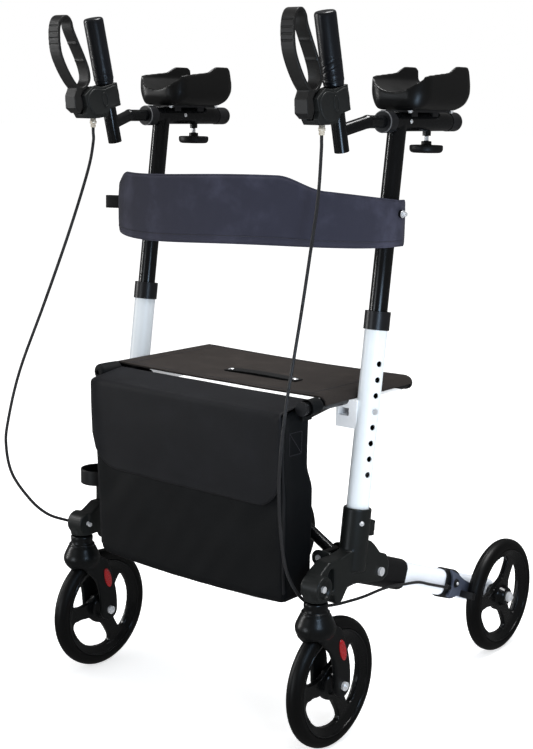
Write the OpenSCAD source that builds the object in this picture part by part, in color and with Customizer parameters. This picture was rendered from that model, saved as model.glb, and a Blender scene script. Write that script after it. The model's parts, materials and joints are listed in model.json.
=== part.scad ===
/* [Wheels] */
// Outside diameter of every wheel
wheel_d = 203; // [196:1:212]
// Width of the tyre
tyre_w = 28; // [24:1:30]
// Radial thickness of the tyre
tyre_t = 17; // [14:1:20]
// Radius of the tyre shoulder
tyre_round = 11; // [8:0.5:12]
// Width of the rim ring
rim_w = 22; // [18:1:24]
// Radial thickness of the rim ring
rim_t = 13; // [9:1:16]
// Thickness of the web between hub and rim
web_t = 10; // [6:1:14]
// Diameter of the wheel hub
hub_d = 40; // [34:1:46]
// Length of the caster hub
hub_len = 33; // [30:0.5:34]
// Length of the rear hub
rear_hub_len = 38; // [32:1:42]
// Width of a spoke between two openings
spoke_w = 24; // [18:1:30]
// Diameter of the wheel axles
axle_d = 12; // [10:0.5:14]
// How far the wheels stand outward of the posts
wheel_out = 7; // [5:0.5:12]
// Distance from caster wheel to rear wheel
wheelbase = 515; // [500:5:540]

/* [Caster fork] */
// Distance from the swivel stem back to the wheel axle
trail = 42; // [36:1:46]
// Space between tyre and fork leg
fork_side_gap = 3.5; // [2.5:0.5:6]
// Thickness of a fork leg
fork_leg_t = 8; // [6:0.5:10]
// Space between tyre and crown
crown_gap = 4; // [3:0.5:8]
// Radius of the bulb at the crown
crown_r = 31; // [29:1:34]
// Height of the crown above the tyre
crown_h = 44; // [42:1:48]
// Diameter of the swivel ring
swivel_ring_d = 43.5; // [41:0.5:46]
// Diameter of the swivel stem
stem_d = 12; // [10:0.5:16]
// Diameter of the fork end round the axle
axle_boss_d = 37; // [33:1:40]

/* [Base casting] */
// Thickness of the casting's side web
casting_t = 26; // [22:1:28]
// Diameter of the rounded nose over the caster
nose_d = 38; // [35:1:42]
// Width of the nose
nose_w = 32; // [28:1:36]
// Diameter of the post socket
socket_d = 44; // [42:1:48]
// Length of the post in the casting, along the post
socket_len = 89; // [80:1:100]
// Height of the brace pivot above the nose centre
pivot_rise = 23; // [18:1:28]
// Diameter of the brace pivot pin
pivot_d = 10; // [8:0.5:11]
// Thickness of a brace pivot lug
lug_t = 6; // [4:0.5:8]
// Diameter of a brace pivot lug
lug_d = 26; // [23:1:28]

/* [Posts] */
// Backward lean of the posts in degrees
post_lean = 7.4; // [6.6:0.2:8.2]
// Place of the post's foot behind the caster wheel
post_foot_y = 58; // [55:1:61]
// Outside diameter of the lower post
lower_od = 35; // [34.5:0.1:36]
// Wall of the lower post
lower_wall = 1.8; // [1.5:0.1:2]
// Length of the lower post
lower_len = 377; // [370:1:390]
// Outside diameter of the post collar
collar_d = 39.5; // [38.5:0.5:42]
// Height of the post collar
collar_h = 28; // [24:1:34]
// Length of the collar's sleeve on the lower post
collar_sleeve = 15; // [10:1:20]
// Outside diameter of the upper post
upper_od = 28.6; // [27:0.1:29]
// Wall of the upper post
upper_wall = 1.8; // [1.5:0.1:2.2]
// Reach of the post from its foot to the forearm tube
post_reach = 675; // [665:1:690]
// Place of the upper post's lower end above the post's foot
upper_foot = 130; // [120:1:140]
// Place of the snap button above the post's foot
button_t = 238.5; // [234:0.5:241]
// Distance between adjusting holes
hole_pitch = 24.2; // [23:0.1:25]
// Adjusting holes above the button
holes_above = 3; // [2:1:3]
// Adjusting holes below the button
holes_below = 4; // [3:1:4]
// Turn of the row of holes toward the front in degrees
hole_turn = 20; // [0:1:25]
// Diameter of an adjusting hole
hole_d = 9.2; // [8:0.1:10]
// How far the snap button stands out of the post
button_proud = 3.5; // [3:0.1:5]
// How far the snap button can be pressed in
button_travel = 3; // [2:0.1:3.2]

/* [Forearm rests] */
// Outside diameter of the forearm tube
arm_od = 28.6; // [28:0.1:30]
// Wall of the forearm tube
arm_wall = 1.8; // [1.5:0.1:2.2]
// Reach of the forearm tube in front of the post
arm_front = 38; // [34:1:44]
// Reach of the forearm tube behind the post
arm_rear = 157; // [155:1:165]
// Diameter of the collar at the tube's front end
arm_collar_d = 33; // [32:0.5:36]
// Length of that collar
arm_collar_len = 15; // [12:1:20]
// Length of the rounded cap at the tube's rear end
arm_cap_len = 10; // [8:1:14]
// Length of that cap's sleeve round the tube
cap_sleeve = 20; // [14:1:24]
// Width of the forearm pad
pad_w = 98; // [94:1:104]
// Length of the forearm pad
pad_len = 146; // [140:1:152]
// Place of the pad's front end behind the post
pad_start = -16; // [-20:1:-12]
// Height of the pad at its front
pad_front_h = 49; // [46:1:54]
// Height of the pad at its rear peaks
pad_peak_h = 67; // [64:1:74]
// Thickness of the pad under the forearm
pad_base_h = 27; // [22:1:32]
// Radius of the forearm trough
trough_r = 58; // [54:1:62]
// Thickness of the pad's side walls
pad_wall = 5; // [4:0.5:6]
// Thickness of the plate under the pad
plate_t = 3; // [2:0.5:5]
// Width of the plate under the pad
plate_w = 50; // [44:1:60]
// Diameter of the clamp knob
knob_d = 52; // [46:1:58]
// Thickness of the clamp knob
knob_t = 12; // [10:1:15]
// Diameter of the knob's stud
stud_d = 6; // [5:0.5:8]
// Length of bare stud under the tube's nut
stud_len = 14; // [12:1:20]
// Place of the knob behind the post
knob_y = 82; // [76:1:88]

/* [Handles] */
// Distance between the two handle posts
handle_spacing = 456; // [452:1:462]
// Forward lean of the handle posts in degrees
handle_lean = 14.3; // [13:0.1:15.5]
// Distance from the post to the foot of the handle post
handle_reach = 125; // [122:1:130]
// Drop from the forearm tube to the foot of the handle post
handle_drop = 43; // [40:1:46]
// Diameter of the handle post
handle_od = 22; // [20:0.5:23]
// Diameter of the branch that slides in the forearm tube
branch_od = 19; // [18:0.5:20]
// Length of the branch inside the forearm tube
branch_in = 165; // [160:1:167]
// Diameter of the hand grip
grip_d = 32; // [30:0.5:34]
// Place of the grip above the handle post's foot
grip_start = 96; // [96:0.5:100]
// Length of the hand grip
grip_len = 105; // [100:1:110]
// Width of the brake housing
housing_w = 30; // [28:1:34]
// Width of the brake lever loop
lever_w = 23; // [20:0.5:25]
// Thickness of the brake lever loop
lever_t = 4.5; // [3.5:0.5:5]
// Width of the lever's tongue in the housing
tongue_w = 12; // [10:0.5:16]
// Diameter of the lever's pivot pin
lever_pin_d = 6; // [5:0.5:7]

/* [Braces and seat] */
// Space between a seat rail and the bag
bag_side_gap = 0.5; // [0.3:0.1:2]
// Outside diameter of the braces and rails
brace_od = 19; // [18:0.2:19.4]
// Wall of the braces and rails
brace_wall = 1.6; // [1.2:0.1:2]
// Rise from the brace pivots to the seat rails
brace_rise = 240; // [234:1:246]
// Place of the front brace behind the caster wheel
brace_y = 30; // [29:0.5:32]
// Distance between the two braces
brace_step = 24; // [23:0.5:25]
// Place of the rails' front end
rail_front_y = -32; // [-36:1:-28]
// Place of the rails' rear end
rail_rear_y = 240; // [232:1:250]
// Length of a rail cap
rail_cap_len = 6; // [4:1:9]
// Thickness of the seat cloth
seat_t = 3.5; // [2.5:0.1:4]
// Place of the seat's front edge
seat_front_y = 8; // [7:0.5:10]
// Length of the pull strap
strap_len = 146; // [130:1:170]
// Width of the pull strap
strap_w = 20; // [16:1:28]
// Thickness of the pull strap
strap_t = 1.4; // [1:0.1:1.6]
// Place of the pull strap to the right of the middle
strap_x = 40; // [0:1:60]
// Place of the pull strap behind the caster wheel
strap_y = 82; // [70:1:124]
// Length of the saddle under a rail
saddle_len = 122; // [110:1:130]
// Height of the saddle under a rail
saddle_h = 44; // [36:1:50]
// Height of the saddle's rear part
saddle_rear_h = 30; // [26:1:34]
// Thickness of the saddle's bottom and sides
saddle_wall = 4; // [3:0.5:5]

/* [Storage bag] */
// Width of the bag
bag_w = 396; // [380:1:400]
// Height of the bag
bag_h = 280; // [274:1:284]
// Rise of the bag's rear panel above its front
bag_back_rise = 20; // [14:1:21]
// Depth of the bag at the top
bag_top_depth = 67; // [60:1:72]
// Depth of the bag at the bottom
bag_bottom_depth = 42; // [36:1:56]
// Place of the bag's rear panel
bag_rear_y = 2; // [0:0.5:3]
// Thickness of the bag's panels
bag_wall = 3; // [2:0.5:4]
// Length of the flap down the front
flap_drop = 124; // [110:1:140]

/* [Backrest band] */
// Reach of the band in front of the posts
band_reach = 197; // [185:1:205]
// Height of the band in the middle
band_h = 97.5; // [92:0.5:104]
// Height of the band at its ends
band_end_h = 65; // [58:1:72]
// Thickness of the band
band_t = 7; // [5:0.5:9]
// Place of the band's lower edge, along the post
band_low_t = 491; // [485:1:497]
// Width of the tall part of the band
band_tall_w = 300; // [270:1:330]
// Width over the tapers of the band
band_taper_w = 420; // [390:1:440]

/* [Cane cup] */
// Outside diameter of the cup
cup_d = 60; // [54:1:62]
// Wall of the cup
cup_wall = 2.6; // [2:0.1:4]
// Height of the cup
cup_h = 24; // [20:1:34]
// Height of the stalk under the cup
cup_stalk_h = 30; // [20:1:36]

/* [Rear legs] */
// How far the rear legs stand outward of the seat rails
leg_out = 2; // [0:0.5:4]
// Space between the leg's socket and the casting's side web
web_gap = 1.1; // [0.6:0.1:2]
// Height of the oval leg
leg_h = 45; // [42:1:48]
// Width of the oval leg
leg_w = 25; // [24:0.5:26]
// Wall of the leg
leg_wall = 1.8; // [1.5:0.1:2.5]
// Wall of the socket and ring round the leg
fitting_wall = 3.4; // [3:0.1:3.5]
// Length of the socket at the leg's front
leg_socket_len = 150; // [140:1:156]
// Length of the brake ring
ring_len = 46; // [40:1:50]
// Place of the brake ring in front of the axle
ring_start = 112; // [110:1:116]
// Thickness of the brake arm
brake_arm_t = 5; // [4:0.5:5.5]
// Space between brake shoe and tyre
shoe_gap = 3; // [2.5:0.1:4]

/* [Cables] */
// Diameter of the brake cables
cable_d = 5; // [4:0.5:6]

/* [Fits] */
// Space between faces that move past each other
run_gap = 0.3; // [0.2:0.05:0.4]
// Radial clearance of a pin in its hole
fit_gap = 0.05; // [0.02:0.01:0.1]

/* [Hidden] */
$fn = 48;

// Lengths along Y are counted from the caster wheels. The model is then moved so that the
// origin is on the floor under the middle of its box.
loop_front = 114.5;
wheel_r = wheel_d / 2;
y_mid = (wheelbase + wheel_r - loop_front) / 2;

// Sideways places of the right half
rail_x = bag_w / 2 + bag_side_gap + brace_od / 2;
rail_spacing = 2 * rail_x;
leg_x = rail_x + leg_out;
fitting_out = leg_w / 2 + fitting_wall;
web_in_x = leg_x + fitting_out + web_gap;
web_out_x = web_in_x + casting_t;
post_x = web_in_x + casting_t / 2;
wheel_x = post_x + wheel_out;
handle_x = handle_spacing / 2;

// Heights that follow from the wheel
crown_z = wheel_r + sqrt(pow(wheel_r + crown_gap, 2) - pow(trail, 2));
fork_top = crown_z + crown_h;
nose_z = fork_top + run_gap + nose_d / 2;
pivot_z = nose_z + pivot_rise;
rail_z = pivot_z + brace_rise;
foot_z = nose_z + 10;
arm_top_z = nose_z + 33;

// Places along the leaning post
function post_y(t) = post_foot_y + t * sin(post_lean);
function post_z(t) = foot_z + t * cos(post_lean);
arm_y = post_y(post_reach);
arm_z = post_z(post_reach);
rail_r = brace_od / 2;
lower_in_r = lower_od / 2 - lower_wall;
upper_r = upper_od / 2;
arm_in_r = arm_od / 2 - arm_wall;
branch_r = branch_od / 2;

// Forearm rest
arm_front_y = arm_y - arm_front;
arm_rear_y = arm_y + arm_rear;
pad_y = arm_y + pad_start;
plate_z = arm_z + arm_od / 2;
pad_z = plate_z + plate_t;
nut_h = 7;
nut_z = arm_z - arm_od / 2 - nut_h;

// Handle
handle_foot = [handle_x, arm_y - handle_reach, arm_z - handle_drop];
handle_r = handle_od / 2;
handle_len = grip_start + grip_len - 16;
lever_pin = [-45, 76];
bend_y = arm_front_y - 42;
joint_t = 30;

// Rear leg: a line from the axle forward to the casting's rear lug
lug_y = 110;
lug_z = nose_z - 13;
leg_slope = atan((lug_z - wheel_r) / (wheelbase - lug_y));
leg_len = (wheelbase - lug_y) / cos(leg_slope);
leg_tail = 22;
arm_face_x = leg_x + fitting_out;
brake_pivot_s = ring_start + ring_len / 2;

// Bag
bag_top_z = rail_z - rail_r - 11.5;
bag_back_z = bag_top_z + bag_back_rise;
bag_front_y = bag_rear_y - bag_top_depth;
bag_toe_y = bag_rear_y - bag_bottom_depth;
flap_t = bag_wall;
flap_side_gap = 4;
flap_w = rail_spacing - brace_od - 2 * flap_side_gap;

// A point of the right leg's own frame: sideways, along the leg from the axle, and up
function leg_point(x, y, z) = [leg_x + x, wheelbase + y * cos(leg_slope) + z * sin(leg_slope),
    wheel_r - y * sin(leg_slope) + z * cos(leg_slope)];

// Cable routes from the brake housing to the rear brake, in the right half
barrel_len = 20;
barrel_end = handle_foot + [0, -50, 24];
cable_stop = [fitting_out + 3, -ring_start - ring_len - 1, -6];
CABLE_TOP = [for (d = [run_gap, 8, 24]) barrel_end - [0, 0, d]];
CABLE_DOWN_LEFT = [
    [226, -44, 854], [236, -75, 760], [263, -105, 645], [298, -130, 529], [317, -140, 444],
    [323, -140, 400], [320, -130, 350], [303, -105, 303], [288, -80, 276], [280, -42, 258],
    [274, 0, 240], [264, 40, 222], [252, 75, 209], [240, 110, 204]
];
CABLE_DOWN_RIGHT = [
    [227, -34, 831], [225, -47, 753], [223, -61, 675], [221, -76, 600], [218, -86, 540],
    [215, -93, 470], [213, -93, 410], [212, -84, 340], [211, -68, 285], [212, -42, 245],
    [216, -20, 225], [220, 8, 213], [223, 40, 207], [226, 75, 204], [230, 110, 203]
];
CABLE_ALONG_LEG = [[233, 150, 204], [232, 190, 200], [230, 223, 193]];
CABLE_END = [for (d = [100, 60, 20, -1]) leg_point(cable_stop.x, cable_stop.y - d, cable_stop.z)];

// Shapes used more than once
function arc(r, a0, a1, n, c = [0, 0]) =
    [for (i = [0:n]) c + r * [cos(a0 + (a1 - a0) * i / n), sin(a0 + (a1 - a0) * i / n)]];
function catmull(a, b, c, d, t) =
    0.5 * (2 * b + (c - a) * t + (2 * a - 5 * b + 4 * c - d) * t * t + (3 * b - a - 3 * c + d) * t * t * t);
function closed_curve(p, n) =
    let (m = len(p))
    [for (i = [0:m - 1]) for (j = [0:n - 1])
        catmull(p[(i + m - 1) % m], p[i], p[(i + 1) % m], p[(i + 2) % m], j / n)];
function open_curve(p, n) =
    let (m = len(p))
    concat([for (i = [0:m - 2]) for (j = [0:n - 1])
        catmull(p[max(i - 1, 0)], p[i], p[i + 1], p[min(i + 2, m - 1)], j / n)], [p[m - 1]]);
function unit(v) = v / norm(v);
function grown(p, d) =
    let (m = len(p))
    [for (i = [0:m - 1]) let (t = unit(p[(i + 1) % m] - p[(i + m - 1) % m])) p[i] + d * [t.y, -t.x]];

module on_side(s) {
    translate([0, -y_mid, 0]) mirror([s < 0 ? 1 : 0, 0, 0]) children();
}
module rod_x(r, x0, x1, y, z) {
    translate([x0, y, z]) rotate([0, 90, 0]) cylinder(r = r, h = x1 - x0);
}
module rod_y(r, y0, y1, x, z) {
    translate([x, y1, z]) rotate([90, 0, 0]) cylinder(r = r, h = y1 - y0);
}
module rod_z(r, z0, z1, x, y) {
    translate([x, y, z0]) cylinder(r = r, h = z1 - z0);
}
module rod(p, q, r) {
    v = q - p;
    translate(p) rotate([0, acos(v.z / norm(v)), atan2(v.y, v.x)]) cylinder(r = r, h = norm(v));
}
// Extrudes a Y-Z outline along X
module side_plate(x0, x1) {
    translate([x0, 0, 0]) rotate([90, 0, 90]) linear_extrude(x1 - x0) children();
}
module on_post(t) {
    translate([post_x, post_foot_y, foot_z]) rotate([-post_lean, 0, 0]) translate([0, 0, t]) children();
}
module on_handle() {
    translate(handle_foot) rotate([handle_lean, 0, 0]) children();
}
// Y runs back along the leg with zero at the axle
module on_leg() {
    translate([leg_x, wheelbase, wheel_r]) rotate([-leg_slope, 0, 0]) children();
}
module oval(w, h) {
    square([w, h - w], center = true);
    for (s = [-1, 1]) translate([0, s * (h - w) / 2]) circle(d = w);
}
module oval_bar(w, h, y0, y1) {
    translate([0, y1, 0]) rotate([90, 0, 0]) linear_extrude(y1 - y0) oval(w, h);
}
// Skins a row of rings that all have the same number of points
module loft(rings) {
    n = len(rings);
    m = len(rings[0]);
    walls = [for (i = [0:n - 2]) for (k = [0:m - 1]) for (f = [0, 1])
        let (a = i * m + k, b = i * m + (k + 1) % m)
        f == 0 ? [a, a + m, b] : [b, a + m, b + m]];
    ends = concat([for (k = [1:m - 2]) [0, k, k + 1]],
        [for (k = [1:m - 2]) (n - 1) * m * [1, 1, 1] + [0, k + 1, k]]);
    polyhedron([for (ring = rings) each ring], concat(walls, ends));
}
module tube_sweep(route, d, sides) {
    n = len(route);
    ref = [1, -1, 1];
    loft([for (i = [0:n - 1])
        let (t = unit(route[min(i + 1, n - 1)] - route[max(i - 1, 0)]),
            u = unit(cross(t, ref)), v = cross(t, u))
        [for (k = [0:sides - 1]) route[i] + d / 2 * (u * cos(360 * k / sides) + v * sin(360 * k / sides))]]);
}

// Wheels: rim with hub and three openings, tyre round it
rim_r = wheel_r - tyre_t;
ring_in = rim_r - rim_t;
slot_out = ring_in - 1.5;
slot_in = hub_d / 2 + 8;
function slot_side(r) = 60 - asin(spoke_w / 2 / r);
function slot_point(p, s) = p.x * [cos(s * p.y), sin(s * p.y)];

module wheel_opening() {
    side = [
        [slot_in, slot_side(slot_in) - 16], [slot_in + 4, slot_side(slot_in + 4) - 3],
        [slot_in + 13, slot_side(slot_in + 13)], [slot_out - 13, slot_side(slot_out - 13)],
        [slot_out - 3.5, slot_side(slot_out - 3.5) - 2.5], [slot_out, slot_side(slot_out) - 12]
    ];
    polygon(closed_curve(concat(
        [for (i = [0:5]) slot_point(side[i], 1)],
        [for (a = [18, 0, -18]) slot_out * [cos(a), sin(a)]],
        [for (i = [5:-1:0]) slot_point(side[i], -1)],
        [[slot_in, 0]]), 3));
}
module rim(hub_l) {
    w = web_t / 2;
    e = rim_w / 2;
    h = hub_d / 2;
    difference() {
        union() {
            rotate_extrude($fn = 96)
                polygon([[0, -w], [ring_in, -w], [rim_r - 3, -e], [rim_r, -e], [rim_r, e], [rim_r - 3, e],
                    [ring_in, w], [0, w]]);
            rotate_extrude() polygon([[0, -hub_l / 2], [h - 6, -hub_l / 2], [h - 5, 1 - hub_l / 2],
                [h, 1 - w], [h, w - 1], [h - 5, hub_l / 2 - 1], [h - 6, hub_l / 2], [0, hub_l / 2]]);
        }
        for (i = [0:2])
            rotate([0, 0, 120 * i + 90]) translate([0, 0, -rim_w]) linear_extrude(2 * rim_w) wheel_opening();
        translate([0, 0, -hub_l]) cylinder(r = axle_d / 2 + fit_gap, h = 2 * hub_l);
    }
}
module tyre() {
    shoulder = tyre_w / 2 - tyre_round;
    rotate_extrude($fn = 96) intersection() {
        translate([rim_r, -tyre_w / 2]) square([tyre_t, tyre_w]);
        union() {
            translate([rim_r, -tyre_w / 2]) square([tyre_t - tyre_round, tyre_w]);
            translate([rim_r, -shoulder]) square([tyre_t, 2 * shoulder]);
            for (s = [-1, 1]) translate([wheel_r - tyre_round, s * shoulder]) circle(r = tyre_round, $fn = 32);
        }
    }
}
module caster_place() {
    translate([wheel_x, 0, wheel_r]) rotate([0, 90, 0]) children();
}
module rear_place() {
    translate([wheel_x, wheelbase, wheel_r]) rotate([0, 90, 0]) children();
}
module caster_rim(s) {
    color("#15161a") on_side(s) caster_place() rim(hub_len);
}
module caster_tyre(s) {
    color("#0c0c0e") on_side(s) caster_place() tyre();
}
module rear_rim(s) {
    color("#15161a") on_side(s) rear_place() rim(rear_hub_len);
}
module rear_tyre(s) {
    color("#0c0c0e") on_side(s) rear_place() tyre();
}

// Caster fork: swivel stem, ring, bulbous crown and two legs down to the axle
fork_in = tyre_w / 2 + fork_side_gap;
fork_out = fork_in + fork_leg_t;

module crown_outline() {
    r = swivel_ring_d / 2;
    d = crown_r - r;
    polygon([
        [0, crown_z - 23], [8, crown_z - 22.5], [16, crown_z - 20], [r + 0.2 * d, crown_z - 14],
        [r + 0.75 * d, crown_z - 7], [r + 0.97 * d, crown_z - 1], [crown_r, crown_z + 4],
        [r + 0.86 * d, crown_z + 9], [r + 0.5 * d, crown_z + 16], [r + 0.12 * d, crown_z + 24],
        [r - 0.8, crown_z + 25], [r - 0.8, crown_z + 26.2], [r, crown_z + 26.8], [r, crown_z + 33],
        [r - 1.2, crown_z + 33.8], [r - 1.2, crown_z + 35], [r - 0.2, crown_z + 35.8],
        [r - 0.2, fork_top - 1.2], [r - 1.6, fork_top], [0, fork_top]
    ]);
}
module fork_leg(x0) {
    b = axle_boss_d / 2;
    f = -trail;
    side_plate(x0, x0 + fork_leg_t) polygon(closed_curve(concat(
        [[f - 10, crown_z - 18], [f + 3, crown_z - 30], [f + 12, crown_z - 41], [f + 17.5, crown_z - 54],
         [-b - 2.5, wheel_r + 27], [-b - 0.8, wheel_r + 12]],
        arc(b, 180, 360, 6, [0, wheel_r]),
        [[b - 0.6, wheel_r + 14], [b - 3, wheel_r + 33], [7, wheel_r + 63], [-5, crown_z - 8],
         [f + 25, crown_z + 2], [f + 12, crown_z + 5], [f - 6, crown_z + 1], [f - 14, crown_z - 9]]), 2));
}
module caster_fork(s) {
    color("#131417") on_side(s) difference() {
        union() {
            translate([wheel_x, -trail, 0]) {
                rotate_extrude() crown_outline();
                rod_z(stem_d / 2, fork_top - 1, nose_z + 12, 0, 0);
            }
            fork_leg(wheel_x + fork_in);
            fork_leg(wheel_x - fork_out);
        }
        rod_x(wheel_r + crown_gap, wheel_x - fork_in, wheel_x + fork_in, 0, wheel_r, $fn = 96);
        rod_x(axle_d / 2 + fit_gap, wheel_x - 2 * fork_out, wheel_x + 2 * fork_out, 0, wheel_r);
    }
}
module caster_axle(s) {
    head_r = axle_d / 2 + 1;
    color("silver") on_side(s) {
        rod_x(axle_d / 2, wheel_x - fork_out - 1, wheel_x + fork_out + 1, 0, wheel_r);
        rod_x(head_r, wheel_x + fork_out + run_gap, wheel_x + fork_out + 4, 0, wheel_r);
        rod_x(head_r, wheel_x - fork_out - 4, wheel_x - fork_out - run_gap, 0, wheel_r);
    }
}

// Base casting: post socket, web with arched underside, nose over the caster, brace lugs
module casting_outline() {
    n = nose_d / 2 - 1;
    polygon([
        [-trail, nose_z + n], [-30, nose_z + 25], [-16, arm_top_z], [16, arm_top_z], [46, arm_top_z + 4],
        [64, arm_top_z + 10], [92, arm_top_z + 9], [104, arm_top_z - 1], [118, nose_z + 17],
        [136, nose_z + 10], [144, nose_z - 6], [141, nose_z - 25], [126, nose_z - 32], [110, nose_z - 29],
        [85, nose_z - 23.5], [66, nose_z - 19.5], [48, nose_z - 17.5], [32, nose_z - 18], [24, nose_z - 27],
        [18, nose_z - 35], [13, nose_z - 38], [6, nose_z - 38], [1, nose_z - 34], [-1.5, nose_z - 27],
        [-4, nose_z - 21], [-9, nose_z - n - 1], [-16, nose_z - n], [-trail, nose_z - n]
    ]);
}
module casting_pocket() {
    polygon([[-21, nose_z - 14], [-6, nose_z - 14], [-4, nose_z - 10], [-4, nose_z + 18], [-8, nose_z + 22],
        [-13, nose_z + 22], [-21, nose_z + 15]]);
}
module pivot_lug(y0) {
    rod_y(lug_d / 2, y0, y0 + lug_t, rail_x, pivot_z);
    translate([rail_x, y0, pivot_z - lug_d / 2]) cube([web_in_x - rail_x + 2, lug_t, lug_d]);
}
module base_casting(s) {
    knuckle0 = brace_y - rail_r - 0.5;
    knuckle1 = brace_y + brace_step + rail_r + 0.5;
    color("#17181b") on_side(s) difference() {
        union() {
            side_plate(web_in_x, web_out_x) casting_outline();
            rod_x(nose_d / 2, wheel_x - nose_w / 2, wheel_x + nose_w / 2, -trail, nose_z);
            rod_z(swivel_ring_d / 2 - 3, fork_top + run_gap, nose_z, wheel_x, -trail);
            on_post(0) translate([0, 0, -8]) cylinder(d = socket_d, h = socket_len + 8);
            on_post(socket_len - 48) translate([-6, 0, 0]) cube([12, socket_d / 2 + 24, 25]);
            pivot_lug(knuckle0 - run_gap - lug_t);
            pivot_lug(knuckle1 + run_gap);
        }
        on_post(0) cylinder(r = lower_od / 2 + fit_gap, h = socket_len + 1);
        rod_z(stem_d / 2 + fit_gap, fork_top - 1, nose_z + 12 + run_gap, wheel_x, -trail);
        rod_x(nose_d / 2 - 5, wheel_x + nose_w / 2 - 4, wheel_x + nose_w, -trail, nose_z);
        rod_x(2.5 + fit_gap, wheel_x + nose_w / 2 - 8, wheel_x + nose_w, -trail, nose_z);
        side_plate(web_out_x - 12, web_out_x + 1) casting_pocket();
        rod_y(pivot_d / 2 + fit_gap, 0, knuckle1 + 20, rail_x, pivot_z);
        rod_x(4 + fit_gap, web_in_x - 1, web_out_x + 1, lug_y + 8, lug_z - 1);
    }
}

// Posts
module lower_post(s) {
    color("#f2f3f5") on_side(s) difference() {
        on_post(0) difference() {
            cylinder(d = lower_od, h = lower_len);
            translate([0, 0, -1]) cylinder(r = lower_in_r, h = lower_len + 2);
        }
        on_post(button_t) rotate([0, 0, -hole_turn]) for (k = [-holes_below:holes_above])
            translate([0, 0, k * hole_pitch]) rotate([0, 90, 0]) cylinder(d = hole_d, h = lower_od);
    }
}
module post_collar(s) {
    color("#141518") on_side(s) on_post(lower_len) difference() {
        union() {
            translate([0, 0, -collar_sleeve]) cylinder(d = collar_d, h = collar_h);
            translate([0, 0, -collar_sleeve]) cylinder(r = lower_in_r - fit_gap, h = collar_sleeve + 1);
        }
        difference() {
            translate([0, 0, -collar_sleeve - 1]) cylinder(r = lower_od / 2 + fit_gap, h = collar_sleeve + 1);
            translate([0, 0, -collar_sleeve - 2]) cylinder(r = lower_in_r - fit_gap, h = collar_sleeve + 3);
        }
        translate([0, 0, -collar_sleeve - 3]) cylinder(r = upper_r + fit_gap, h = collar_h + 6);
    }
}
module snap_button(s) {
    inner = upper_r + run_gap;
    color("silver") on_side(s) on_post(button_t) rotate([0, 90, -hole_turn]) {
        translate([0, 0, inner])
            cylinder(r = hole_d / 2 - fit_gap, h = lower_od / 2 + button_proud - 1 - inner);
        translate([0, 0, inner]) cylinder(r = hole_d / 2 - 1, h = lower_od / 2 + button_proud - inner);
    }
}
band_stud_t = band_low_t + 0.73 * band_end_h;
band_in_x = post_x + upper_r + run_gap;
stud_out_x = band_in_x + band_t + run_gap;

module upper_post(s) {
    slot_w = hole_d + 1;
    slot_low = button_t - holes_above * hole_pitch - slot_w / 2;
    slot_h = (holes_above + holes_below) * hole_pitch + slot_w;
    color("#101114") on_side(s) difference() {
        union() {
            on_post(upper_foot) cylinder(r = upper_r, h = post_reach - upper_foot);
            on_post(upper_foot) cylinder(r = lower_in_r - fit_gap, h = 12);
            rod_y(arm_od / 2, arm_front_y, arm_rear_y, post_x, arm_z);
            rod_z(6.5, nut_z, arm_z, post_x, arm_y + knob_y);
            rod_x(3, post_x, stud_out_x + 2, post_y(band_stud_t), post_z(band_stud_t));
            rod_x(6, stud_out_x, stud_out_x + 4, post_y(band_stud_t), post_z(band_stud_t));
        }
        rod_y(arm_in_r, arm_front_y - 1, arm_rear_y + 1, post_x, arm_z);
        on_post(upper_foot - 1)
            cylinder(r = upper_r - upper_wall, h = post_reach - upper_foot - arm_od / 2 - 8);
        on_post(slot_low) rotate([0, 0, -hole_turn])
            translate([0, -slot_w / 2, 0]) cube([lower_od, slot_w, slot_h]);
        rod_z(stud_d / 2 + fit_gap, nut_z - 1, arm_z, post_x, arm_y + knob_y);
    }
}

// Forearm rest
module arm_tube_fittings(s) {
    color("#0e0f11") on_side(s) {
        difference() {
            union() {
                rod_y(arm_collar_d / 2, arm_front_y - 3, arm_front_y + arm_collar_len, post_x, arm_z);
            }
            rod_y(arm_od / 2 + fit_gap, arm_front_y, arm_front_y + arm_collar_len + 1, post_x, arm_z);
            rod_y(branch_r + fit_gap, arm_front_y - 4, arm_front_y + 1, post_x, arm_z);
        }
        difference() {
            rod_y(arm_in_r - fit_gap, arm_front_y, arm_front_y + 24, post_x, arm_z);
            rod_y(branch_r + fit_gap, arm_front_y - 1, arm_front_y + 25, post_x, arm_z);
        }
        rod_y(arm_in_r - fit_gap, arm_rear_y - 8, arm_rear_y, post_x, arm_z);
        difference() {
            rod_y(arm_od / 2 + 0.7, arm_rear_y - cap_sleeve, arm_rear_y + 1, post_x, arm_z);
            rod_y(arm_od / 2 + fit_gap, arm_rear_y - cap_sleeve - 1, arm_rear_y, post_x, arm_z);
        }
        translate([post_x, arm_rear_y, arm_z]) rotate([-90, 0, 0]) rotate_extrude()
            polygon(concat([[0, 0], [arm_od / 2 + 0.7, 0]],
                arc(arm_cap_len - 3, 0, 90, 6, [arm_od / 2 + 3.7 - arm_cap_len, 3]), [[0, arm_cap_len]]));
    }
}
module pad_plate(s) {
    color("#1b1c1e") on_side(s) difference() {
        union() {
            translate([post_x - plate_w / 2, pad_y + 20, plate_z]) cube([plate_w, pad_len - 40, plate_t]);
            for (k = [0.3, 0.7])
                translate([post_x - 12, pad_y + k * pad_len - 8, plate_z - 8]) cube([24, 16, 8 + plate_t]);
        }
        rod_y(arm_od / 2, arm_front_y, arm_rear_y, post_x, arm_z);
    }
}
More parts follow.
